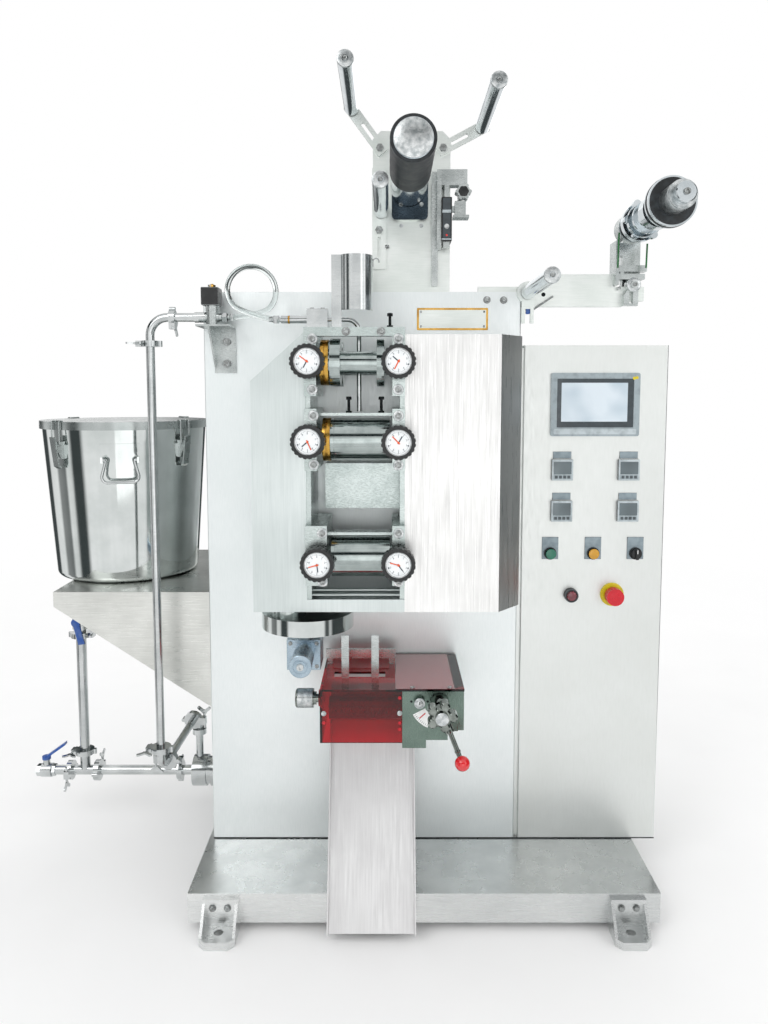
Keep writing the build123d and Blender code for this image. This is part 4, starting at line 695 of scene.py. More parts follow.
# %% Film spindle sleeve and end disc
SPINDLE = (-32.0, 1615.0)
SLEEVE_R = 42.5
length = np.linspace(0.0, 216.0, 28)
swell = 0.25 + 0.25 * np.exp(-((length - 212.0) / 5.0) ** 2) + 0.12 * np.sin(length / 9.0)
outer = np.stack([length, SLEEVE_R + swell], 1).tolist()
lip = [(216.6, SLEEVE_R - 0.4), (216.6, 37.4), (215.6, 36.2), (0.0, 36.2)]
sleeve = turned(outer + lip, (SPINDLE[0], -345.0, SPINDLE[1]), sides=72, closed=False)
piece("film_spindle_sleeve", [sleeve], "sleeve_rubber", "film_spindle")
disc = [(0.0, 35.8), (4.0, 35.8), (4.4, 35.2), (4.4, 2.4)]
end = turned(disc, (SPINDLE[0], -560.65, SPINDLE[1]), sides=64)
piece("film_spindle_disc", [end], "faced_disc", "film_spindle")
print("sleeve", 2 * SLEEVE_R, "mm across and 216 mm long")

# %% Ends of the guide rollers
ROLLER_ENDS = {
    "guide_roller_upper_left": (-159.0, 1787.0),
    "guide_roller_upper_right": (132.0, 1748.0),
    "guide_roller_middle": (-93.0, 1565.0),
    "guide_roller_arm": (239.0, 1386.0),
}
ROLLER_FRONT = -475.0
for body, (x, z) in ROLLER_ENDS.items():
    cap = [(-6.0, 16.3), (-0.8, 16.3), (0.0, 15.9), (0.4, 15.0), (0.4, 6.4), (-0.4, 6.0)]
    piece(body + "_cap", [turned(cap, (x, ROLLER_FRONT, z), sides=40)], "faced_disc", body)
    screw = socket_screw((x, ROLLER_FRONT + 0.4, z), 5.0, 3.0)
    piece(body + "_screw", screw, "screw_steel", body)
print(len(ROLLER_ENDS), "roller ends")

# %% Screws on the film plate and its links
PLATE_FACE, FLANGE_FACE, LINK_FACE = -195.0, -205.0, -201.0
hexes = [(-96.0, LINK_FACE, 1703.0), (45.0, LINK_FACE, 1703.0), (-98.0, LINK_FACE, 1524.0)]
piece("link_screws", many(hex_screw, hexes, 9.0, 7.0, washer_r=11.0), "screw_steel")
flange = [(x, FLANGE_FACE, z) for z in (1579.5, 1651.0) for x in (-49.0, -3.0)]
cover_plate = tile((-29.0, FLANGE_FACE, 1604.0), 40.6, 57.6, 0.5, 10.0, 0.2)
piece("flange_blued_plate", [cover_plate], "blued_plate")
piece("flange_screws", many(socket_screw, flange, 5.0, 3.5), "screw_steel")
plugs = [turned([(0.0, 4.6), (0.3, 4.4), (0.35, 3.0)], (x, PLATE_FACE, 1535.0), sides=20) for x in (-48.0, -3.0)]
piece("film_plate_plugs", plugs, "faced_disc")
side_pin = turned([(0, 5.0), (4.0, 5.0), (4.0, 3.2), (9.0, 3.2), (9.6, 2.6)], (-85.0, -199.0, 1488.0), (1, 0, 0), 18)
piece("link_bar_set_screw", [side_pin], "screw_steel")
face = [(147.0, PLATE_FACE, 1370.0), (185.0, PLATE_FACE, 1369.5)]
piece("cabinet_face_screws", many(socket_screw, face, 6.5, 4.0, washer_r=8.5), "screw_steel")
print(len(hexes) + len(flange) + len(face), "screws above the cabinet's top edge")

# %% [markdown]
# ## Photo-eye
# The sensor that reads the film's marks rides on a small slide beside the film plate: a black housing
# with a clear front, a label area, one adjusting screw and a red lamp. Its carriage is clamped by a
# black knob with six lobes, which is a circle whose radius rises and falls six times.

# %% Photo-eye details
SENSOR_X, SENSOR_FACE = 51.0, -243.0
housing = tile((SENSOR_X, -195.4, 1540.0), 11.5, 47.5, 48.0, 1.6, 0.8)
piece("sensor_housing", [housing], "black_abs")
face = [tile((SENSOR_X, SENSOR_FACE - 0.2, 1572.0), 8.6, 13.0, 1.0, 1.2),
        tile((SENSOR_X, SENSOR_FACE - 0.2, 1526.0), 8.6, 27.0, 1.0, 1.2)]
piece("sensor_faces", face, "frame_glass")
label = [tile((SENSOR_X, SENSOR_FACE - 0.2, 1556.5), 9.6, 3.2, 1.3, 0.6),
         tile((SENSOR_X, SENSOR_FACE - 0.2, 1496.5), 10.6, 1.6, 1.3, 0.4)]
piece("sensor_label", label, "key_strip")
piece("sensor_screw", socket_screw((SENSOR_X, SENSOR_FACE - 1.0, 1524.0), 5.6, 1.6), "faced_disc")
lamp_dot = turned([(0, 2.6), (0.8, 2.4), (1.3, 1.4)], (SENSOR_X, SENSOR_FACE - 1.1, 1505.0), sides=18)
piece("sensor_lamp", [lamp_dot], "led_red")
KNOB = (88.0, -215.0, 1600.0)
lobes = turned([(0, 12.5), (3, 14.5), (20, 14.5), (25, 13.4), (27.0, 9.0)], KNOB, sides=72,
               shape=lambda a, row: 1.0 + 0.09 * np.cos(6 * a) * (row < 4))
piece("photo_eye_knob", [lobes], "black_abs")
piece("photo_eye_screw", socket_screw((60.0, -215.0, 1636.0), 5.0, 3.0), "screw_steel")
print("sensor", 2 * 11.5, "by", 2 * 47.5, "mm")

# %% [markdown]
# ## Ribbon reel on the side arm
# The reel's spindle ends in a knurled sleeve behind a black rubber ring. Knurling is a turned surface
# whose radius swings with both the angle and the distance, two waves crossing; the rubber ring is a
# half circle carried round the axis. Two green round belts run down to the small roller.

# %% Ribbon spindle details
REEL = (478.0, 1533.0)
bead = np.linspace(-np.pi / 2, np.pi / 2, 11)
tyre = np.stack([11.0 - 11.6 * np.sin(bead[::-1]), 42.0 + 7.6 * np.cos(bead) ** 0.6], 1)
tyre_profile = tyre.tolist() + [(22.6, 27.4), (-0.6, 27.4)]
ring = turned(tyre_profile, (REEL[0], -418.0, REEL[1]), sides=64, closed=False)
piece("ribbon_spindle_tyre", [ring], "sleeve_rubber", "ribbon_spindle")
KNURL_MM, KNURL_TEETH = 2.6, 54
along = np.linspace(0.0, 44.0, 35)
knurled = np.stack([along, np.full(35, 27.6)], 1).tolist()


def knurl(angle, row):
    """Two waves that cross: one climbs to the right round the sleeve, the other to the left."""
    climb = row * 44.0 / 34.0 * 2 * np.pi / KNURL_MM
    return 1.0 + 0.008 * np.sin(KNURL_TEETH * angle + climb * 0.5) * np.sin(KNURL_TEETH * angle - climb * 0.5)


sleeve = turned(knurled, (REEL[0], -441.0, REEL[1]), sides=216, shape=knurl)
piece("ribbon_spindle_knurl", [sleeve], "faced_disc", "ribbon_spindle", 60.0)
nut = [(0, 27.9), (2.0, 27.9), (2.6, 27.0), (5.0, 27.0), (5.6, 28.0), (10.6, 28.0), (11.6, 27.0)]
piece("ribbon_spindle_collar", [turned(nut, (REEL[0], -485.6, REEL[1]), sides=64)], "faced_disc", "ribbon_spindle")
piece("ribbon_spindle_screw", socket_screw((REEL[0], -515.0, REEL[1]), 6.4, 4.0), "screw_steel", "ribbon_spindle")
print("knurl of", KNURL_TEETH, "teeth")

# %% Belts, small roller and fittings on the arm
belts = []
for x, top, foot in ((432.5, 1512.0, 1436.0), (495.5, 1488.0, 1436.0)):
    line = np.stack([np.full(9, x), np.linspace(-236.0, -232.0, 9), np.linspace(top, foot, 9)], 1)
    belts.append(tube(line, 2.0, 12))
piece("green_belts", belts, "belt_green")
small = socket_screw((475.0, -222.0, 1402.0), 5.0, 2.5)
piece("bracket_roller_screw", small, "screw_steel")
disc = turned([(0.0, 15.6), (0.8, 15.6), (1.2, 15.0), (1.2, 9.0)], (475.0, -214.0, 1402.0), sides=36)
piece("bracket_roller_disc", [disc], "faced_disc")
# The hole in the arm plate is a thin black disc: painted shade of its inside.
hole_shade = turned([(0.0, 4.8), (0.25, 4.7), (0.3, 4.0)], (276.0, -192.0, 1382.5), sides=24)
piece("arm_plate_hole_shade", [hole_shade], "black_oxide")
tension = np.linspace(0.0, 1.0, 30)
spring_line = np.stack([251.0 + 46.0 * tension, np.full(30, -197.0), 1347.0 + 31.0 * tension], 1)
coil = tube(spring_line, 2.1 + 0.5 * np.sin(tension * 29 * np.pi), 12)
piece("arm_spring", [coil], "screw_steel")
pad = tile((240.0, -193.0, 1345.0), 4.5, 7.0, 8.0, 2.0, 0.6)
piece("fork_pad", [pad], "lever_blue")
pin = turned([(0, 3.4), (2.0, 3.4), (2.4, 2.6)], (446.0, -200.0, 1396.0), sides=18)
piece("arm_bracket_pin", [pin], "screw_steel")
print("arm dressed")

# %% [markdown]
# ## Control panel
# The panel's fittings are bought parts, each with its own finishes: a touch screen in a silver bezel,
# four temperature controllers with four keys each, legend plates that are left blank, two pushes, a
# selector, an indicator and the emergency stop on its yellow disc. Each is a thin tile or a turned cap
# set on the solid, because what changes there is colour and gloss rather than shape.

# %% Touch screen
SCREEN_X, SCREEN_Z = 398.0, 1136.0
PANEL_FACE = -195.0
glass = tile((SCREEN_X, PANEL_FACE - 4.4, SCREEN_Z), 87.6, 55.6, 0.7, 1.0, 0.2)
piece("screen_frame", [glass], "frame_glass")
shown = tile((SCREEN_X - 2.0, PANEL_FACE - 5.05, SCREEN_Z + 2.0), 76.0, 44.5, 0.35, 0.6, 0.1)
piece("screen_display", [shown], "display")
strip = tile((SCREEN_X, PANEL_FACE - 6.0, 1070.5), 95.0, 6.2, 0.6, 2.5, 0.2)
piece("screen_lower_strip", [strip], "key_strip")
sticker = [tile((486.0, PANEL_FACE - 6.0, 1193.0), 3.6, 3.6, 0.15, 3.4, 0.05),
           tile((492.0, PANEL_FACE - 6.0, 1194.0), 3.6, 3.6, 0.18, 3.4, 0.05)]
piece("screen_film_tab", sticker, "stop_yellow")
print("screen", 144, "by", 82, "mm")

# %% Temperature controllers
CONTROLLERS = ((325.0, 982.0), (479.0, 982.0), (325.0, 886.0), (479.0, 886.0))
BOX_FACE = PANEL_FACE - 9.0
rims, windows, strips, keys, plates = [], [], [], [], []
for x, z in CONTROLLERS:
    rims.append(tile((x, BOX_FACE, z), 24.4, 24.4, 0.5, 1.6, 0.3))
    windows.append(tile((x, BOX_FACE - 0.5, z + 4.6), 20.6, 14.6, 0.45, 1.0, 0.1))
    strips.append(tile((x, BOX_FACE - 0.5, z - 16.2), 20.6, 5.2, 0.4, 0.8, 0.1))
    for k in range(4):
        keys.append(tile((x - 14.4 + 9.6 * k, BOX_FACE - 0.9, z - 16.2), 3.3, 3.3, 0.8, 0.8, 0.3))
    plates.append(tile((x, PANEL_FACE - 2.0, z + 34.0), 20.8, 7.8, 0.4, 0.8, 0.15))
piece("controller_rims", rims, "key_strip")
piece("controller_windows", windows, "dark_display")
piece("controller_strips", strips, "bezel_abs")
piece("controller_keys", keys, "controller_abs")
print(len(keys), "keys")

# %% Buttons, selector and lamp
BUTTONS = {"start_button": (301.0, 786.0), "pause_button": (401.0, 786.0)}
SELECTOR = (500.0, 786.0)
for x, z in (*BUTTONS.values(), SELECTOR):
    plates.append(tile((x, PANEL_FACE - 2.0, z + 12.0), 18.8, 25.8, 0.4, 3.0, 0.15))
piece("legend_plates", plates, "legend_plate")
guards = []
for x, z in (*BUTTONS.values(), SELECTOR):
    profile = [(0.0, 14.4), (4.8, 14.4), (5.8, 13.6), (6.0, 12.8), (5.6, 12.4), (5.6, 9.0), (0.0, 9.0)]
    guards.append(turned(profile, (x, PANEL_FACE - 2.4, z), sides=40, closed=False))
piece("button_rings", guards, "black_abs")
for body, (x, z) in BUTTONS.items():
    cap = turned([(0.0, 8.0), (0.6, 12.0), (2.6, 12.2), (3.8, 11.4), (4.4, 9.0), (4.6, 5.0)],
                 (x, PANEL_FACE - 11.6, z), sides=40)
    piece(body + "_cap", [cap], "green_cap" if body.startswith("start") else "amber_cap", body)
knob = turned([(0.0, 12.0), (5.6, 12.0), (6.6, 11.0), (6.8, 8.0)],
              (SELECTOR[0], PANEL_FACE - 9.6, SELECTOR[1]), sides=40)
grip = tile((SELECTOR[0], PANEL_FACE - 10.0, SELECTOR[1]), 3.6, 12.4, 12.4, 1.6, 0.8)
piece("selector_knob", [knob, grip], "black_abs", "selector_switch")
line = tile((SELECTOR[0], PANEL_FACE - 22.4, SELECTOR[1] + 6.4), 0.8, 4.6, 0.25, 0.3, 0.08)
piece("selector_line", [line], "white_strip", "selector_switch")
lens = turned([(0.0, 11.4), (1.6, 11.4), (6.0, 9.6), (7.2, 6.0), (7.4, 3.0)],
              (351.0, PANEL_FACE - 14.0, 687.0), sides=60,
              shape=lambda a, row: 1.0 + 0.05 * np.abs(np.sin(6 * a)) * ((row > 0) & (row < 3)))
piece("lamp_lens", [lens], "lamp_cap")
collar = turned([(0.0, 16.3), (10.0, 16.3), (13.8, 14.4), (14.3, 12.0)], (351.0, PANEL_FACE - 0.2, 687.0), sides=44)
piece("lamp_collar", [collar], "black_abs")
STOP = (448.0, 688.0)
disc = turned([(0.0, 27.4), (3.9, 27.4), (4.5, 26.8), (4.5, 15.0), (0.0, 15.0)],
              (STOP[0], PANEL_FACE, STOP[1]), sides=64, closed=False)
piece("stop_disc", [disc], "stop_yellow")
crown = [(0.0, 19.6), (2.0, 20.4), (7.0, 20.2), (10.0, 18.6), (11.4, 15.6), (11.9, 8.0)]
mushroom = turned(crown, (STOP[0], PANEL_FACE - 22.4, STOP[1]), sides=56)
piece("stop_mushroom", [mushroom], "stop_red", "emergency_stop")
print("panel fitted")

# %% Bare name plate
NAME_AT = (69.0, PANEL_FACE, 1327.0)
rim = tile(NAME_AT, 81.0, 25.0, 1.2, 1.5, 0.4)
piece("name_plate_rim", [rim], "turned_brass")
inner = tile((NAME_AT[0], PANEL_FACE - 1.2, NAME_AT[2]), 76.5, 20.5, 0.3, 0.8, 0.1)
piece("name_plate_face", [inner], "ground_plate")
corners = [(NAME_AT[0] + side * 72.0, PANEL_FACE - 1.4, NAME_AT[2] + up * 16.5) for side in (-1, 1) for up in (-1, 1)]
heads = [turned([(0, 2.8), (0.8, 2.5), (1.2, 1.4)], at, sides=14) for at in corners]
piece("name_plate_screws", heads, "screw_steel")
print("plate left bare")

# %% [markdown]
# ## Cutter
# The cutter's cover is clear red acrylic, held by small bright screws; its gearbox carries a key lock, a
# white scale with a red pointer, and the chromed star wheel and clamp lever with their red ball. What
# is round is turned; the scale is a flat ring sector, a grid between two radii and two angles.

# %% Cutter cover and gearbox fittings
COVER_FACE, BOX_FRONT = -419.0, -419.0
cover = [(-212.8, COVER_FACE, 490.5), (-53.5, COVER_FACE, 491.2)]
piece("cover_screws", many(socket_screw, cover, 5.4, 2.6), "faced_disc")
low = [(x, COVER_FACE, z) for x, z in ((-212.8, 470.0), (-53.5, 470.0), (-53.5, 456.0), (-53.5, 524.0))]
piece("cover_screws_dark", many(socket_screw, low, 3.6, 1.6), "stop_red")
top = [(-27.0, -421.0, 546.0), (50.6, -421.0, 546.0)]
backed = tile((-1.0, -316.5, 546.0), 61.5, 111.0, 0.3, 1.0, 0.1, axis=UP)
piece("cutter_top_sheet", [backed], "backed_acrylic")
piece("top_plate_screws", many(socket_screw, top, 5.0, 2.8, axis=UP), "faced_disc")
LOCK = (-12.0, -429.0, 516.0)
lock = [turned([(0.0, 11.3), (1.4, 11.3), (2.0, 10.6), (2.0, 8.4), (1.2, 8.0)], LOCK, sides=36),
        turned([(1.0, 6.8), (2.4, 6.6), (2.8, 6.0)], LOCK, sides=30)]
piece("key_lock", lock, "faced_disc")
# The key slot is a thin black tile, painted shade of the keyway; the two pins beside it are black.
slot = [tile((LOCK[0], LOCK[1] - 2.8, LOCK[2] + 1.0), 1.0, 3.6, 0.2, 0.4, 0.05)]
for side in (-17.0, 17.0):
    slot.append(turned([(0.0, 2.6), (0.3, 2.5), (0.4, 1.6)], (LOCK[0] + side, BOX_FRONT, LOCK[2]), sides=16))
piece("key_slot_shade_and_pins", slot, "black_oxide")
print("cutter screws and lock")


# %% White scale behind the star wheel
def sector(centre, inner, outer, start, stop, thick, columns=24):
    """A flat ring sector facing the viewer: radius runs from inner to outer and back, one step
    thicker, while the angle runs from start to stop."""
    angle = np.radians(np.linspace(start, stop, columns))
    ring = np.array([(0.0, inner), (0.0, outer), (thick, outer), (thick, inner)])
    grid = np.stack([centre[0] + ring[:, 1] * np.cos(angle)[:, None], centre[1] - ring[:, 0] + 0 * angle[:, None],
                     centre[2] + ring[:, 1] * np.sin(angle)[:, None]], -1)
    return skin(grid[:, ::-1])


STAR = (29.0, 517.0)
scale = sector((STAR[0], BOX_FRONT, STAR[1]), 33.0, 62.0, 208.0, 247.0, 0.6)
piece("cutter_scale", [scale], "white_strip")
marks = []
for k in range(9):
    lean = np.radians(211.0 + 4.2 * k)
    spot = (STAR[0] + 58.0 * np.cos(lean), BOX_FRONT - 0.6, STAR[1] + 58.0 * np.sin(lean))
    marks.append(tile(spot, 2.4, 0.35, 0.12, 0.1, 0.04, turn=np.degrees(lean)))
piece("cutter_scale_ticks", marks, "dial_ink")
lean = np.radians(222.0)
needle = tile((STAR[0] + 47.0 * np.cos(lean), BOX_FRONT - 0.7, STAR[1] + 47.0 * np.sin(lean)),
              8.5, 1.1, 0.4, 0.8, 0.1, turn=222.0)
piece("cutter_scale_needle", [needle], "stop_red")
cap = turned([(0.0, 13.2), (0.6, 13.2), (1.2, 12.4), (0.9, 10.6), (0.9, 4.0)], (STAR[0], -514.6, STAR[1]), sides=48)
piece("star_wheel_cap", [cap], "faced_disc", "star_handwheel")
north = np.linspace(-np.pi / 2, np.pi / 2, 21)
ball = turned(np.stack([15.4 * np.sin(north), np.maximum(15.4 * np.cos(north), 0.3)], 1),
              (71.0, -500.0, 420.0), sides=40)
piece("lever_ball", [ball], "ball_red", "clamp_lever")
collar = Vector((71.0 - 29.0, -50.0, 420.0 - 517.0)).normalized()
for spot, reach in ((50.0, 9.8), (90.0, 6.4)):
    at = (29.0 + collar.x * spot, -450.0 + collar.y * spot, 517.0 + collar.z * spot)
    ring = turned([(0.0, reach - 1.0), (1.0, reach), (4.0, reach), (5.0, reach - 1.0)], at, tuple(collar), 28)
    piece("lever_ring_%d" % spot, [ring], "chrome_painted_reflection", "clamp_lever")
print("scale, cap and ball")

# %% Knurled knobs of the cutter and the micrometer
barrel = np.linspace(0.0, 33.0, 27)
grip = turned(np.stack([barrel, np.full(27, 20.7)], 1), (-275.0, -345.0, 495.0), (1, 0, 0), 160,
              lambda a, row: 1.0 + 0.012 * np.sin(40 * a + row * 1.6) * np.sin(40 * a - row * 1.6))
piece("side_knob_knurl", [grip], "faced_disc", "cutter_side_knob", 60.0)
end = turned([(0.0, 18.2), (0.5, 18.0), (0.7, 7.0), (0.2, 6.4)], (-279.0, -345.0, 495.0), (-1, 0, 0), 40)
piece("side_knob_end", [end], "faced_disc", "cutter_side_knob")
front = [(0.0, 23.6), (1.0, 23.6), (1.6, 22.8), (1.6, 15.0), (1.0, 14.4), (1.0, 12.2)]
disc = turned(front, (-258.0, -445.6, 600.0), sides=56)
piece("micrometer_disc", [disc], "zinc_block", "micrometer_knob")
piece("micrometer_screw", socket_screw((-258.0, -449.0, 600.0), 7.4, 3.4), "faced_disc", "micrometer_knob")
print("knobs knurled")

# %% Micrometer block and disc hood
block = tile((-261.5, -269.8, 591.5), 36.8, 33.8, 75.6, 1.2, 0.8)
boss = turned([(0.0, 20.4), (20.4, 20.4), (21.0, 19.8), (21.0, 8.5), (0.0, 8.5)],
              (-258.0, -345.2, 600.0), sides=48, closed=False)
piece("micrometer_block", [block, boss], "zinc_block")
micro = [(x, -345.6, z) for x in (-290.0, -233.0) for z in (566.0, 617.0)]
piece("micrometer_block_screws", many(socket_screw, micro, 4.6, 1.6), "screw_steel")
print("micrometer block", 73, "by", 67, "mm")

# %% [markdown]
# ## Pipework
# The valve that starts each fill is a small brass and steel body under a black coil. The riser and the
# suction line are joined by clamps, whose wing nuts are solids already; what is added is the coil's
# brass nut, the hexagon nuts of the compression fittings and the coupling nut on the filling tube.

# %% Valve coil and fittings
coil = tile((-469.0, -225.6, 1371.0), 19.4, 19.4, 38.8, 2.4, 1.2)
piece("valve_coil", [coil], "black_abs")
nut = turned([(0.0, 8.0), (6.0, 8.0), (7.0, 7.2), (7.0, 3.5), (9.0, 3.2)], (-467.0, -245.0, 1390.0), UP, 24,
             lambda a, row: np.where(row < 3, hexagon(a), 1.0))
piece("coil_nut", [nut], "turned_brass")
nuts = []
for x, y, z, r, wide in ((-446.0, -245.0, 1326.0, 11.0, 12.0), (-428.0, -245.0, 1326.0, 9.0, 8.0),
                         (-322.0, -315.0, 1315.0, 9.5, 12.0), (-303.0, -315.0, 1315.0, 8.6, 8.0)):
    profile = [(0.0, r * 0.9), (1.2, r), (wide - 1.2, r), (wide, r * 0.9)]
    nuts.append(turned(profile, (x, y, z), (1, 0, 0), 24, lambda a, row: hexagon(a)))
piece("compression_nuts", nuts, "bright_tube")
ring = turned([(0.0, 8.6), (4.0, 8.6)], (-291.0, -315.0, 1315.0), (1, 0, 0), 24)
piece("tube_brass_ring", [ring], "turned_brass")
caps = [(-240.0, -315.0, 1336.0), (-217.0, -315.0, 1336.0)]
piece("clamp_block_screws", many(socket_screw, caps, 4.6, 4.0, axis=UP), "screw_steel")
bolts = [(-446.0, -201.0, 1275.0), (-446.0, -201.0, 1226.0)]
piece("valve_bracket_screws", many(socket_screw, bolts, 6.4, 3.4, washer_r=9.0), "screw_steel")
print(len(nuts), "hexagon nuts")

# %% Former hook
HOOK_R = 6.5
bend = np.radians(np.linspace(0, 200, 20))
hook = np.stack([-110.0 + HOOK_R * (1 - np.cos(bend)), np.full(20, -318.0), 1436.0 + HOOK_R * np.sin(bend)], 1)
hook = np.vstack([[[-110.0, -318.0, 1424.0]], hook])
piece("former_hook", [tube(hook, 1.3, 10)], "bright_tube")
print("hook", 2 * HOOK_R, "mm across")

# %% [markdown]
# ## Shade strips and foot bolts
# A thin black strip in the rubber's finish runs along the foot of both cabinets. It is painted shade: from the front
# it draws the dark line of shadow that parts the pale sheet from the plinth. Two hexagon bolts hold each anchor foot
# to the plinth.

# %% Painted shade strips at the cabinets' feet
SHADE_STRIP_HALF, SHADE_STRIP_Z = 1.2, 87.4
shade_strips = []
for body in ("main_cabinet", "control_cabinet"):
    low, high = (np.asarray(corner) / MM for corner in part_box(body))
    shade_strips.append(tile(((low[0] + high[0]) / 2, PANEL_FACE, SHADE_STRIP_Z), (high[0] - low[0]) / 2, SHADE_STRIP_HALF, 0.8, 0.5, 0.2))
# A black strip standing for the shadow line under each cabinet: painted shade.
piece("foot_shade_strips", shade_strips, "sleeve_rubber")
print(len(shade_strips), "shade_strips", 2 * SHADE_STRIP_HALF, "mm wide")

# %% Anchor foot bolts
FOOT_X, FOOT_FACE, BOLT_Z = 438.0, 420.0, 60.0
bolts = []
for side in (-1, 1):
    for end, axis in ((-1, FRONT), (1, (0, 1, 0))):
        bolts += [hex_screw((side * FOOT_X + step, end * FOOT_FACE, BOLT_Z), 6.5, 4.6, washer_r=8.0, axis=axis)
                  for step in (-16.0, 16.0)]
piece("anchor_foot_bolts", [skins for bolt in bolts for skins in bolt], "screw_steel")
print(len(bolts), "bolts")

# %% [markdown]
# ## Floor, light and room
# The room is a pale studio: a floor that runs out of sight, soft lamps, and a white surround. Polished
# steel only looks like steel when it has something dark to mirror, so the surround that reflections
# see has dark upright bands to the left and right, as a room with open doors would.

# %% Floor
floor_mesh = bpy.data.meshes.new("floor")
FLOOR_HALF = 14.0
corners = np.array([[-1, -1], [1, -1], [1, 1], [-1, 1]]) * FLOOR_HALF
floor_mesh.from_pydata(np.hstack([corners, np.zeros((4, 1))]).tolist(), [], [(0, 1, 2, 3)])
floor = bpy.data.objects.new("floor", floor_mesh)
bpy.context.scene.collection.objects.link(floor)
floor_paint, tree, shader, place = fresh("pale_floor")
mottle = add(tree, "ShaderNodeTexNoise", {"Vector": place, "Scale": 3.0, "Detail": 3.0})
pale = add(tree, "ShaderNodeMix", {SHARE: mottle.outputs["Fac"], FIRST: paint("#F4F4F4"), SECOND: paint("#FAFAFA")},
           data_type="RGBA")
tree.links.new(pale.outputs[MIXED], shader.inputs["Base Color"])
shader.inputs["Roughness"].default_value = 0.9
shader.inputs["Specular IOR Level"].default_value = 0.1
NEAR_M, FAR_M = 1.5, 4.0
away = add(tree, "ShaderNodeVectorMath", {0: place}, operation="LENGTH")
fade = add(tree, "ShaderNodeMapRange", {"Value": away.outputs["Value"], "From Min": NEAR_M, "From Max": FAR_M})
looks = add(tree, "ShaderNodeLightPath")
white = add(tree, "ShaderNodeMath", {0: fade.outputs[0], 1: looks.outputs["Is Camera Ray"]}, operation="MULTIPLY")
bare = add(tree, "ShaderNodeEmission", {"Color": paint("#FFFFFF"), "Strength": 1.0})
both = add(tree, "ShaderNodeMixShader", {0: white.outputs[0], 1: shader.outputs[0], 2: bare.outputs[0]})
# Reflections pass through the floor beyond its clear part, so polished steel mirrors the surround there.
open_floor = add(tree, "ShaderNodeMapRange", {"Value": away.outputs["Value"], "From Min": 1.3, "From Max": 1.9})
passing = add(tree, "ShaderNodeMath", {0: open_floor.outputs[0], 1: looks.outputs["Is Glossy Ray"]},
              operation="MULTIPLY")
through = add(tree, "ShaderNodeBsdfTransparent")
whole = add(tree, "ShaderNodeMixShader", {0: passing.outputs[0], 1: both.outputs[0], 2: through.outputs[0]})
tree.links.new(whole.outputs[0], tree.nodes["Material Output"].inputs["Surface"])
floor_mesh.materials.append(floor_paint)
print("floor", 2 * FLOOR_HALF, "m across")

# %% Surround
world = bpy.data.worlds.new("studio")
world.use_nodes = True
bpy.context.scene.world = world
tree = world.node_tree
back = tree.nodes["Background"]
rays = add(tree, "ShaderNodeLightPath")
toward = add(tree, "ShaderNodeTexCoord").outputs["Generated"]
split = add(tree, "ShaderNodeSeparateXYZ", {"Vector": toward})
ahead = add(tree, "ShaderNodeMath", {0: split.outputs["Y"], 1: -1.0}, operation="MULTIPLY")
bearing = add(tree, "ShaderNodeMath", {0: split.outputs["X"], 1: ahead.outputs[0]}, operation="ARCTAN2")
turn = add(tree, "ShaderNodeMapRange", {"Value": bearing.outputs[0], "From Min": -np.pi, "From Max": np.pi})
# Bearing in degrees, 0 towards the viewer and positive to the right, and how dark the room is there.
ROOM = [(-180, 0.95), (-168, 0.95), (-163, 0.0), (-146, 0.0), (-141, 0.95), (-122, 0.95), (-117, 0.1),
        (-100, 0.0), (-95, 0.7), (-80, 0.8), (-76, 0.05), (-68, 0.1), (-63, 0.95), (-49, 0.95), (-43, 0.0),
        (44, 0.0), (50, 0.9), (57, 0.9), (60, 0.3), (64, 0.4), (69, 0.95), (120, 0.95), (124, 0.1),
        (138, 0.0), (142, 0.95), (154, 0.95), (157, 0.05), (166, 0.0), (170, 0.95), (180, 0.95)]
bands = add(tree, "ShaderNodeValToRGB", {"Fac": turn.outputs[0]})
while len(bands.color_ramp.elements) < len(ROOM):
    bands.color_ramp.elements.new(0.5)
for stop, (degrees, dark) in zip(bands.color_ramp.elements, ROOM):
    stop.position = degrees / 360.0 + 0.5
    stop.color = (dark, dark, dark, 1.0)
level = add(tree, "ShaderNodeMath", {0: split.outputs["Z"]}, operation="ABSOLUTE")
low = add(tree, "ShaderNodeMapRange",
          {"Value": level.outputs[0], "From Min": 0.85, "From Max": 0.55, "To Min": 0.0, "To Max": 1.0})
share = add(tree, "ShaderNodeMath", {0: bands.outputs["Color"], 1: low.outputs[0]}, operation="MULTIPLY")
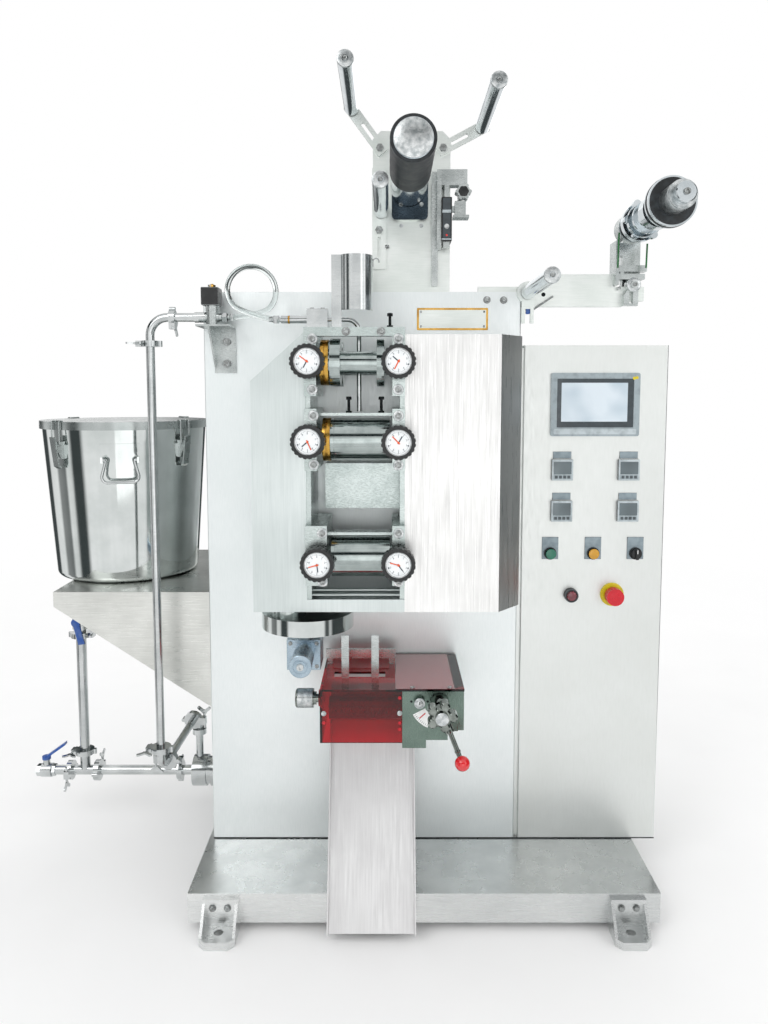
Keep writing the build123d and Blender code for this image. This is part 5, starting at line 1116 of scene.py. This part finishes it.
# Besides the bands, a dark ring stands all round, 17 to 38 degrees up.
over = add(tree, "ShaderNodeMapRange", {"Value": split.outputs["Z"], "From Min": 0.30, "From Max": 0.36})
under = add(tree, "ShaderNodeMapRange", {"Value": split.outputs["Z"], "From Min": 0.62, "From Max": 0.54})
beam = add(tree, "ShaderNodeMath", {0: over.outputs[0], 1: under.outputs[0]}, operation="MULTIPLY")
share = add(tree, "ShaderNodeMath", {0: share.outputs[0], 1: beam.outputs[0]}, operation="MAXIMUM")
share = add(tree, "ShaderNodeMath", {0: share.outputs[0], 1: rays.outputs["Is Glossy Ray"]}, operation="MULTIPLY")
room = add(tree, "ShaderNodeMix", {SHARE: share.outputs[0], FIRST: paint("#FFFFFF"), SECOND: paint("#1E2B2C")},
           data_type="RGBA")
seen = add(tree, "ShaderNodeMath", {0: rays.outputs["Is Camera Ray"], 1: rays.outputs["Is Transmission Ray"]},
           operation="MAXIMUM")
shown = add(tree, "ShaderNodeMath", {0: seen.outputs[0], 1: rays.outputs["Is Glossy Ray"]}, operation="MAXIMUM")
strength = add(tree, "ShaderNodeMapRange", {"Value": shown.outputs[0], "To Min": 0.95, "To Max": 1.0})
tree.links.new(room.outputs[MIXED], back.inputs["Color"])
tree.links.new(strength.outputs[0], back.inputs["Strength"])
print("surround with", len(tree.nodes), "nodes")


# %% Lamps
def lamp(name, at, aim, size, watts):
    """A square soft lamp at a point, turned to face another."""
    light = bpy.data.lights.new(name, "AREA")
    light.shape = "SQUARE"
    light.size = size
    light.energy = watts
    holder = bpy.data.objects.new(name, light)
    holder.location = at
    turn = Vector(aim) - Vector(at)
    holder.rotation_euler = turn.to_track_quat("-Z", "Y").to_euler()
    bpy.context.scene.collection.objects.link(holder)
    return holder


lamp("key", (-2.2, -3.0, 3.2), (0.0, 0.0, 0.9), 2.0, 34.0)
lamp("fill", (2.8, -2.6, 2.2), (0.0, 0.0, 0.9), 2.4, 18.0)
lamp("low", (0.2, -3.4, 0.75), (0.0, 0.0, 0.4), 1.6, 4.6)
lamp("rim", (0.5, 3.2, 3.0), (0.0, 0.0, 1.2), 2.4, 20.0)
print("four lamps")

# %% [markdown]
# ## Close the file
# The number of added pieces and their faces is printed.

# %% Count the pieces
print(len(made_pieces), "pieces with", sum(made_pieces.values()), "faces")
